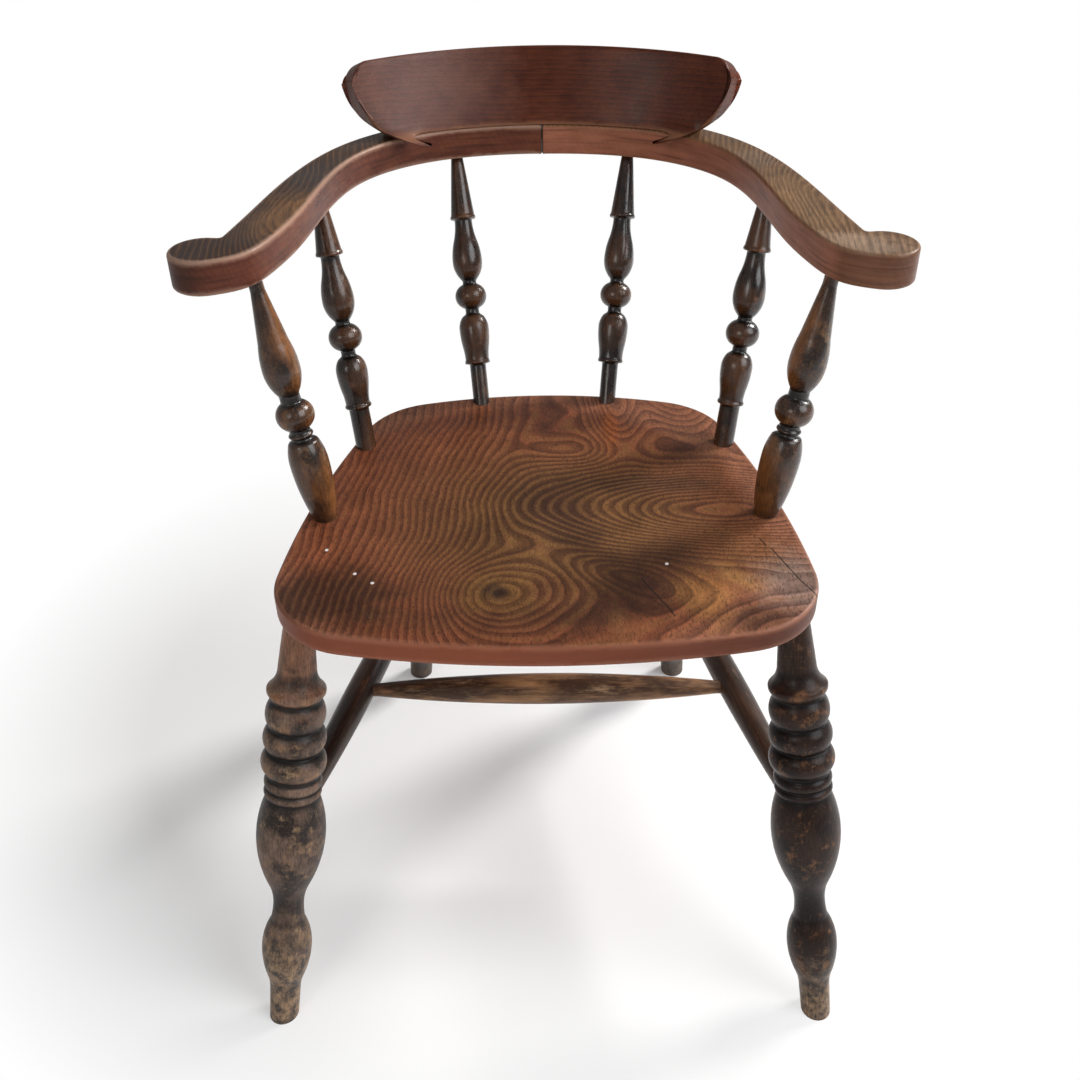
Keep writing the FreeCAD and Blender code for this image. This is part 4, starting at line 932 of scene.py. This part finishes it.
seatLook = {
    "year": 0.0086, "slant": 0.14, "turnAt": 0.034, "turnSoft": 7.5, "wobble": 2.2, "ripple": 0.2,
    "middle": ((0.02, -0.075), (0.165, 0.150), 0, 1.0), "dishOval": ((4.9, 5.0, 0), (0, 0.31, 0)),
    "red": (144, 80, 54), "olive": (120, 80, 50), "rim": (166, 110, 84), "gold": (160, 116, 66),
    "line": (46, 29, 21), "fineLine": (48, 30, 22), "pore": (40, 26, 20), "arris": (176, 122, 98),
    "rightEdge": (128, 66, 42), "leftEdge": (66, 25, 12), "crack": (30, 20, 16), "speck": (226, 220, 216),
    "fibreShades": (0.80, 1.14), "mottleShades": (0.80, 1.14), "rough": (0.34, 0.56), "shine": 0.14,
    "coat": 0.05, "coatRough": 0.25, "relief": 0.3, "depth": 0.0005, "crackWidth": 0.00045,
    "hills": [
        ((-0.043, -0.183), (0.070, 0.062), 0, 7.5),     # the knot
        ((0.172, -0.062), (0.178, 0.062), -9, 17.0),    # long loops that open to the right
        ((0.074, 0.150), (0.026, 0.090), 4, 7.0),       # two flames at the back
        ((0.140, 0.165), (0.042, 0.085), 14, 8.0),
        ((0.020, 0.055), (0.040, 0.024), 0, -2.5),
        ((0.205, -0.275), (0.110, 0.085), 30, 6.0),
        ((0.070, -0.160), (0.060, 0.022), -35, -3.0),
    ],
    "stains": [
        ((-0.195, -0.195), (0.072, 0.050), 0, 0.80, (46, 29, 23)),
        ((-0.060, -0.225), (0.110, 0.020), 0, 0.35, (74, 46, 32)),
        ((0.010, -0.065), (0.032, 0.078), 32, 0.55, (66, 42, 36)),
        ((0.095, -0.010), (0.090, 0.018), -4, 0.60, (64, 42, 34)),
        ((0.040, -0.212), (0.045, 0.022), 10, 0.50, (64, 40, 32)),
        ((0.178, -0.225), (0.034, 0.020), 12, 0.55, (66, 46, 42)),
        # painted shadow of the back spindles across the back of the seat
        ((-0.010, 0.106), (0.100, 0.022), 0, 0.50, (66, 38, 30)),
        ((0.150, 0.050), (0.050, 0.030), -50, 0.45, (66, 44, 34)),
        ((0.134, -0.196), (0.027, 0.044), 12, 0.80, (166, 112, 64)),
        ((0.168, -0.168), (0.034, 0.011), -48, 0.75, (180, 128, 78)),
        ((0.185, -0.135), (0.050, 0.034), -50, 0.55, (146, 98, 62)),
        ((0.056, -0.180), (0.020, 0.015), -20, 0.60, (128, 88, 50)),
        ((0.071, 0.088), (0.008, 0.042), -4, 0.60, (164, 88, 46)),
        ((-0.043, -0.183), (0.034, 0.034), 0, 0.60, (150, 108, 60)),
        ((-0.043, -0.183), (0.013, 0.014), 0, 0.90, (62, 45, 37)),
        # painted sheen on the front corner on the sitter's left, with some bleached polish
        ((0.222, -0.180), (0.040, 0.046), 0, 0.50, (158, 146, 138)),
    ],
    "smoke": [
        ((0.074, -0.158), (0.080, 0.022), -50, 0.55, (50, 28, 20)),
        # painted shadow of the arm post on the sitter's left
        ((0.104, -0.146), (0.046, 0.040), 20, 0.55, (50, 29, 21)),
        ((0.072, -0.192), (0.046, 0.026), -40, 0.75, (48, 26, 19)),
        ((0.020, -0.040), (0.030, 0.060), 32, 0.30, (56, 34, 27)),
    ],
    "cracks": [
        ((0.204, -0.128), (0.018, -0.048)), ((0.222, -0.176), (0.014, -0.028)),
        ((0.084, -0.165), (0.024, -0.058)), ((0.196, -0.112), (0.004, -0.012)),
    ],
    "specks": [(-0.1990, -0.1245), (-0.1520, -0.1740), (-0.1690, -0.1605), (0.1085, -0.1440)],
    "speckSize": (0.0022, 0.0026),
}


def seatMaterial():
    # elm plank: a field counts the years across it, steady on the left and level on the right, with
    # hills that close the bands into rings or draw them out into loops
    look = seatLook
    finish, tree = newFinish("seatElm")
    place = put("TexCoord", tree=tree)["Object"]
    axis = put("SeparateXYZ", {0: place})
    slow = noise(place, 15.0, 0.8)
    ragged = noise(place, 38.0, 5.0, 0.65)
    years = (axis["X"] - axis["Y"] * look["slant"] + look["turnAt"]) / look["year"]
    field = calc("SMOOTH_MIN", years, 0.0, look["turnSoft"]) + hills(place, look["hills"])
    field = field + slow * look["wobble"] + noise(place, 75.0, 3.0, 0.55) * look["ripple"]
    band = bands(field, 1.5)
    fine = bands(field * 3.0, 1.2)
    side = attribute(tree, "side")
    fibre = boardFibre(place, fibres(turnedAbout(place, "X"), 0.35, 520.0), side)
    flat = spread(side, 0.0, 0.5, 1.0, 0.08)
    # ground colour: red on the left and round the rim, olive in the middle
    middle = hills(place, [look["middle"]])
    colour = blend(spread(middle + ragged * 0.5, 0.35, 1.05), look["red"], look["olive"])
    # the rim outside the dish is paler, most of all at the back and on the sitter's left: partly worn polish,
    # partly painted light on the side the lamps shine from
    outside = ovalReach(place, *look["dishOval"])
    paleRimWearAndLight = outside + axis["X"] * 0.5 + axis["Y"] * 0.35 + slow * 0.06
    colour = blend(spread(paleRimWearAndLight, 1.02, 1.14, 0.0, 0.62), colour, look["rim"])
    colour = stains(place, ragged, colour, look["stains"])
    gold = band["Light"] * spread(middle, 0.15, 0.8, 0.20, 0.50) * flat
    colour = blend(gold, colour, look["gold"])
    contrast = spread(ragged, 0.32, 0.62, 1.0, 0.6) * flat
    colour = blend(band["Dark"] * contrast, colour, look["line"])
    colour = blend(fine["Dark"] * contrast * 0.32, colour, look["fineLine"])
    colour = stains(place, ragged, colour, look["smoke"])
    colour = fibreShades(colour, fibre, look)
    colour = blend(fibre["Pores"] * flat * 0.55, colour, look["pore"])
    # the edge and the underside get darker towards the sitter's left: painted shade
    edgeWithPaintedShade = blend(spread(axis["X"], -0.05, 0.20), look["rightEdge"], look["leftEdge"])
    colour = blend(side * 0.85, colour, edgeWithPaintedShade)
    colour = blend(wornArris(tree, place, 0.30, 30.0) * 0.3, colour, look["arris"])
    crack = cracks(place, look["crackWidth"], look["cracks"])
    colour = blend(crack * 0.85, colour, look["crack"])
    dots = hills(place, [(spot, look["speckSize"], 0, 1.0) for spot in look["specks"]])
    colour = blend(spread(dots, 0.45, 0.75), colour, look["speck"])
    height = fibre["Fibre"] * 0.6 - band["Dark"] * 0.4 - fibre["Pores"] * 0.5 - crack * 2.0
    polished(colour, boardRough(fibre, look), height, look)
    return finish


# what both arms share, then what each has of its own
armLook = {
    "rust": (122, 68, 44), "pore": (36, 24, 19), "seam": (14, 9, 7), "fibreShades": (0.74, 1.14),
    "mottleShades": (0.82, 1.12), "shine": 0.15, "coat": 0.06, "coatRough": 0.2, "relief": 0.3,
    "depth": 0.0005, "innerOval": (4.08, 3.51, 0), "pawStarts": 0.268, "pawFull": 0.285,
}
armKinds = {
    "rightArm": {
        "turn": -8, "year": 0.0062, "hills": [((-0.236, -0.012), (0.026, 0.072), -6, 5.0)],
        "red": (88, 42, 30), "inner": (88, 42, 30), "wood": (70, 46, 31), "gold": (138, 102, 62),
        "line": (40, 26, 19), "edge": (206, 168, 146), "pale": 0.45, "rough": (0.26, 0.48),
        "paw": (66, 35, 25),
        "stains": [((-0.226, 0.010), (0.022, 0.060), -8, 0.80, (122, 84, 50)),
                   # a dark patch on the shoulder, partly painted shadow under the crest's end
                   ((-0.214, 0.112), (0.036, 0.058), -16, 0.75, (54, 38, 32)),
                   ((-0.276, -0.080), (0.050, 0.042), 0, 0.90, (50, 27, 18))],
    },
    "leftArm": {
        "turn": 10, "year": 0.0060, "hills": [((0.238, 0.060), (0.024, 0.090), 8, 3.5)],
        # the inner face is paler than the other arm's, partly painted sheen
        "red": (112, 66, 46), "inner": (160, 98, 76), "wood": (116, 85, 58), "gold": (166, 136, 100),
        "line": (54, 36, 26), "edge": (150, 110, 84), "pale": 0.25, "rough": (0.30, 0.52),
        "paw": (84, 46, 30),
        "stains": [((0.225, 0.000), (0.030, 0.090), 10, 0.50, (146, 112, 76)),
                   # painted sheen: pale grey patches on the shoulder and on the paw
                   ((0.205, 0.150), (0.024, 0.030), 30, 0.45, (112, 96, 84)),
                   ((0.255, -0.075), (0.046, 0.030), -30, 0.60, (178, 152, 130))],
    },
}


def armMaterial(kind):
    # sawn arm: bands along it with one flame on the upper face, plain red at the sides and below
    look = {**armLook, **armKinds[kind]}
    finish, tree = newFinish(kind + "Wood")
    place = put("TexCoord", tree=tree)["Object"]
    turned = turnedAbout(place, "Z", look["turn"])
    axis = put("SeparateXYZ", {0: turned})
    long = stretched(turned, (1.0, 0.25, 1.0))
    ragged = noise(place, 42.0, 5.0, 0.65)
    field = (axis["X"] + axis["Z"] * 0.5) / look["year"] + hills(place, look["hills"])
    field = field + noise(long, 24.0, 2.0) * 3.5 + noise(long, 90.0, 3.0) * 0.8
    band = bands(field, 1.5)
    side = attribute(tree, "side")
    fibre = boardFibre(place, fibres(turnedAbout(turned, "X"), 0.08, 620.0), side)
    colour = stains(place, ragged, look["wood"], look["stains"])
    colour = blend(band["Light"] * 0.25, colour, look["gold"])
    # points inside an oval through the middle of the bow belong to its inner face
    inside = spread(ovalReach(place, look["innerOval"]), 1.035, 1.0)
    # on the sitter's left the inner face's colour holds painted sheen
    redFace = blend(inside, look["red"], look["inner"])
    redFace = blend(spread(ragged, 0.35, 0.65, 0.0, 0.4), redFace, look["rust"])
    fromMiddle = calc("ABSOLUTE", put("SeparateXYZ", {0: place})["X"])
    redFace = blend(spread(fromMiddle, look["pawStarts"], look["pawFull"], 0.0, 0.8), redFace, look["paw"])
    colour = blend(side * 0.85, colour, redFace)
    contrast = spread(ragged, 0.32, 0.62, 0.9, 0.4) * spread(side, 0, 1, 1.0, 0.0)
    colour = blend(band["Dark"] * contrast, colour, look["line"])
    colour = fibreShades(colour, fibre, look)
    colour = blend(fibre["Pores"] * 0.35, colour, look["pore"])
    colour = blend(wornArris(tree, place, 0.34, 34.0) * look["pale"], colour, look["edge"])
    colour = blend(spread(fromMiddle, 0.0006, 0.0016, 0.92, 0.0), colour, look["seam"])
    height = fibre["Fibre"] * 0.6 - band["Dark"] * 0.4 - fibre["Pores"] * 0.4
    polished(colour, boardRough(fibre, look), height, look)
    return finish


crestLook = {
    "wood": (120, 52, 29), "patches": (144, 72, 42), "line": (36, 21, 16), "front": (44, 25, 19),
    "bloom": (164, 136, 128), "bloomOval": ((9, 0, 8.5), (1.05, 0, -6.45)), "edge": (158, 112, 84),
    "spacing": 0.0052, "rough": (0.25, 0.45),
    "wornFrom": 0.045, "wornFull": 0.005, "fibreShades": (0.72, 1.16), "mottleShades": (0.84, 1.12),
    "shine": 0.14, "coat": 0.06, "coatRough": 0.2, "relief": 0.3, "depth": 0.0005,
}


def crestMaterial():
    # dark crest: quarter-sawn, so its lines run level along it, fine and slightly wandering
    look = crestLook
    finish, tree = newFinish("crestWood")
    place = put("TexCoord", tree=tree)["Object"]
    axis = put("SeparateXYZ", {0: place})
    long = stretched(place, (0.12, 0.5, 1.0))
    ragged = noise(place, 36.0, 5.0, 0.65)
    field = (axis["Z"] + axis["Y"] * 0.12 + axis["X"] * 0.012) / look["spacing"]
    field = field + noise(long, 30.0, 2.0) * 3.0 + noise(long, 160.0, 3.0) * 0.9
    band = bands(field, 1.4)
    fine = bands(field * 2.6, 1.2)
    fibre = fibres(turnedAbout(place, "Y"), 0.05, 700.0)
    colour = blend(spread(ragged, 0.35, 0.65), look["wood"], look["patches"])
    colour = blend(band["Dark"] * spread(ragged, 0.32, 0.62, 0.75, 0.35), colour, look["line"])
    colour = blend(fine["Dark"] * 0.35, colour, look["line"])
    colour = fibreShades(colour, fibre, look)
    # the front and the edges are darker than the back
    colour = blend(attribute(tree, "side") * 0.6, colour, look["front"])
    # painted sheen: a pale patch on the sitter's right
    away = ovalReach(place, *look["bloomOval"])
    colour = blend(spread(away - ragged * 0.4, 0.75, -0.1, 0.0, 0.27), colour, look["bloom"])
    low = spread(axis["Z"], level["bowTop"] + look["wornFrom"], level["bowTop"] + look["wornFull"])
    colour = blend(wornArris(tree, place, 0.30, 34.0) * low * 0.6, colour, look["edge"])
    height = fibre["Fibre"] * 0.6 - band["Dark"] * 0.4 - fibre["Pores"] * 0.3
    polished(colour, boardRough(fibre, look), height, look)
    return finish


dowelLook = {"dark": (176, 138, 98), "pale": (205, 172, 130), "rough": (0.55, 0.75), "shine": 0.5,
             "coat": 0.0, "coatRough": 0.03, "relief": 0.2, "depth": 0.0003}


def dowelMaterial():
    # bare beech, fine fibres along the pin
    finish, tree = newFinish("dowelBeech")
    fibre = fibres(put("TexCoord", tree=tree)["Object"], 0.1, 900.0)
    colour = blend(spread(fibre["Fibre"], 0.35, 0.65), dowelLook["dark"], dowelLook["pale"])
    polished(colour, boardRough(fibre, dowelLook), fibre["Fibre"], dowelLook)
    return finish


# build the chair
def railPoint(which):
    # where the side rail's axis meets a leg's, in plan
    foot, top = (np.array(point) for point in leg[which])
    return foot + (top - foot) * rail["height"] / level["seatUnder"]


def axisEnds(side, plans, heights):
    # both ends of an axis, from the plan of the left-hand one and its heights
    return [(side * x, y, z) for (x, y), z in zip(plans, heights)]


def span(ends):
    # an axis's length in millimetres
    return float(np.linalg.norm(np.subtract(*ends))) / mm


def turnedPieces():
    # a row for each turned piece, in the order of their seeds: CAD node, marks, ends of the axis,
    # points round it, finish and slot
    rows = []
    railPlans = [railPoint("front"), railPoint("back")]
    railHeights = (rail["height"], rail["height"])
    seatToBow = (level["seatTop"], level["bowUnder"])
    for sideName, side in sides.items():
        for which in ("front", "back"):
            node = f"{sideName}_{which}_leg"
            ends = axisEnds(side, leg[which], (0, level["seatUnder"]))
            finish = "backLeg" if which == "back" else sideName + "Leg"
            rows.append((node, legMarks(span(ends)), ends, leg["around"], finish, "leg_wood"))
        node = sideName + "_arm_post"
        ends = axisEnds(side, post["place"], seatToBow)
        rows.append((node, postMarks(span(ends)), ends, post["around"], "post", "spindle_wood"))
        for which in ("side", "back"):
            node = f"{sideName}_{which}_spindle"
            ends = axisEnds(side, spindle[which]["place"], seatToBow)
            marks = spindleMarks(which, span(ends))
            rows.append((node, marks, ends, spindle["around"], "spindle", "spindle_wood"))
        node = sideName + "_side_stretcher"
        ends = axisEnds(side, railPlans, railHeights)
        marks = railMarks("side", span(ends))
        rows.append((node, marks, ends, rail["side"]["around"], "side", "stretcher_wood"))
    x, y = railPlans[0] + (railPlans[1] - railPlans[0]) * rail["cross"]["share"]
    ends = axisEnds(1, [(x, y), (-x, y)], railHeights)
    marks = railMarks("cross", span(ends))
    rows.append(("cross_stretcher", marks, ends, rail["cross"]["around"], "cross", "cross_wood"))
    return rows


turnedFinishes = {kind: turnedMaterial(kind) for kind in turnedKinds}
for seed, (node, marks, ends, around, finish, slotName) in enumerate(turnedPieces(), 1):
    piece = addTurning(node.replace("stretcher", "rail") + "_turned", marks, *ends, around, seed)
    settle(piece, turnedFinishes[finish], slotName, node)
print("turned pieces made")

seatRings = arrisRings(level["seatTop"] - level["seatUnder"], seat["arris"],
                       (seat["bevelWidth"], seat["bevelHeight"]))
seatPlank = addBoard("seat_plank", *seatLines(), seatRings, placeSeat, seat["wearWidth"])
settle(seatPlank, seatMaterial(), "seat_elm", "seat")
print("seat made")

bowRings = arrisRings(level["bowTop"] - level["bowUnder"], bow["arris"])
for sideName, side in sides.items():
    lines = [line * np.array([side, 1]) for line in bowLines()]
    half = addBoard(sideName + "_bow_half", *lines, bowRings, placeBow, bow["wearWidth"])
    settle(half, armMaterial(sideName + "Arm"), "arm_wood", sideName + "_arm_bow")
crestRings = arrisRings(crest["thickness"], crest["arris"])
crestPiece = addBoard("crest_board", *crestLines(), crestRings, placeCrest, crest["wearWidth"])
settle(crestPiece, crestMaterial(), "crest_wood", "crest_rail")
dowelFinish = dowelMaterial()
for name, node in nodes.items():
    if "dowel" in name:
        node.data.materials.clear()
        node.data.materials.append(dowelFinish)
print("bow, crest and dowels made")

# floor, light and camera
studio = {
    "floorSize": 60, "shadowMiddle": (-0.10, 0.18, 0), "shadowNear": 0.42, "shadowFar": 0.68, "glow": 0.12,
    "matt": 0.94, "skyStrength": 0.26, "glossShare": 0.15, "lampsAim": (0, 0, 0.4),
}
lamps = {
    "backWindow": {"place": (2.98, 1.72, 2.89), "size": 1.25, "power": 158, "colour": (1, 0.98, 0.96)},
    "sideWindow": {"place": (3.0, -1.6, 2.9), "size": 3.0, "power": 106, "colour": (0.96, 0.98, 1)},
    "frontFill": {"place": (-2.0, -3.2, 2.4), "size": 1.6, "power": 26, "colour": (1, 0.97, 0.93)},
}
white = (1, 1, 1, 1)


def seenDirectly(tree):
    # one for the rays that show the background: the camera's and those in glass, and a share of it
    # in gloss, so that dark polish isn't veiled
    rays = put("LightPath", tree=tree)
    through = calc("MAXIMUM", rays["Is Camera Ray"], rays["Is Transmission Ray"])
    return calc("MAXIMUM", through, rays["Is Glossy Ray"] * studio["glossShare"])


def makeFloor():
    # pale floor: white of its own away from the chair, and a share of it near the chair, where the
    # shadow stays
    bpy.ops.mesh.primitive_plane_add(size=studio["floorSize"], location=(0, 0, 0))
    floor = bpy.context.object
    floor.name = "studio_floor"
    finish, tree = newFinish("paleFloor")
    place = put("TexCoord", tree=tree)["Object"]
    distance = vector("DISTANCE", place, studio["shadowMiddle"])["Value"]
    own = spread(distance, studio["shadowNear"], studio["shadowFar"], studio["glow"], 1.0)
    matt = put("BsdfDiffuse", {"Color": (studio["matt"], studio["matt"], studio["matt"], 1)}, tree=tree)
    glow = put("Emission", {"Color": white, "Strength": 1.0}, tree=tree)
    put("OutputMaterial", {0: put("MixShader", {0: seenDirectly(tree) * own, 1: matt, 2: glow})})
    floor.data.materials.append(finish)


def addLamp(name, look):
    # a round lamp aimed at the chair
    lamp = bpy.data.lights.new(name, "AREA")
    lamp.shape = "DISK"
    lamp.size = look["size"]
    lamp.energy = look["power"]
    lamp.color = look["colour"]
    piece = bpy.data.objects.new(name, lamp)
    piece.location = look["place"]
    piece.rotation_mode = "QUATERNION"
    piece.rotation_quaternion = (Vector(studio["lampsAim"]) - Vector(look["place"])).to_track_quat("-Z", "Y")
    bpy.context.scene.collection.objects.link(piece)


def makeSky():
    # white where it is seen, dimmer where it gives light
    world = bpy.data.worlds.new("studio")
    tree = clearedTree(world)
    strength = spread(seenDirectly(tree), 0, 1, studio["skyStrength"], 1.0)
    put("OutputWorld", {0: put("Background", {"Color": white, "Strength": strength})})
    bpy.context.scene.world = world


makeFloor()
makeSky()
for lampName, look in lamps.items():
    addLamp(lampName, look)

view = {"place": (-0.0006, -0.9961, 1.0890), "down": 35.38, "turn": -0.29, "roll": 0.68, "focal": 1186.7,
        "frame": 1080, "middle": 534.6, "sensor": 36}


def makeCamera():
    # axes from the solved angles: forward, right and up of the photograph's camera
    down, turn, roll = (math.radians(view[key]) for key in ("down", "turn", "roll"))
    forward = np.array([math.sin(turn) * math.cos(down), math.cos(turn) * math.cos(down), -math.sin(down)])
    right = np.array([math.cos(turn), -math.sin(turn), 0.0])
    below = np.cross(forward, right)
    camX = right * math.cos(roll) + below * math.sin(roll)
    camY = right * math.sin(roll) - below * math.cos(roll)
    lens = bpy.data.cameras.new("camera")
    lens.sensor_width = view["sensor"]
    lens.lens = view["focal"] * view["sensor"] / view["frame"]
    lens.shift_y = (view["middle"] - view["frame"] / 2) / view["frame"]
    piece = bpy.data.objects.new("camera", lens)
    bpy.context.scene.collection.objects.link(piece)
    axes = np.stack([camX, camY, -forward, np.array(view["place"])], -1)
    piece.matrix_world = Matrix(np.vstack([axes, [0, 0, 0, 1]]).tolist())
    bpy.context.scene.camera = piece


makeCamera()
bpy.context.scene.view_settings.view_transform = "Standard"

bpy.context.view_layer.update()
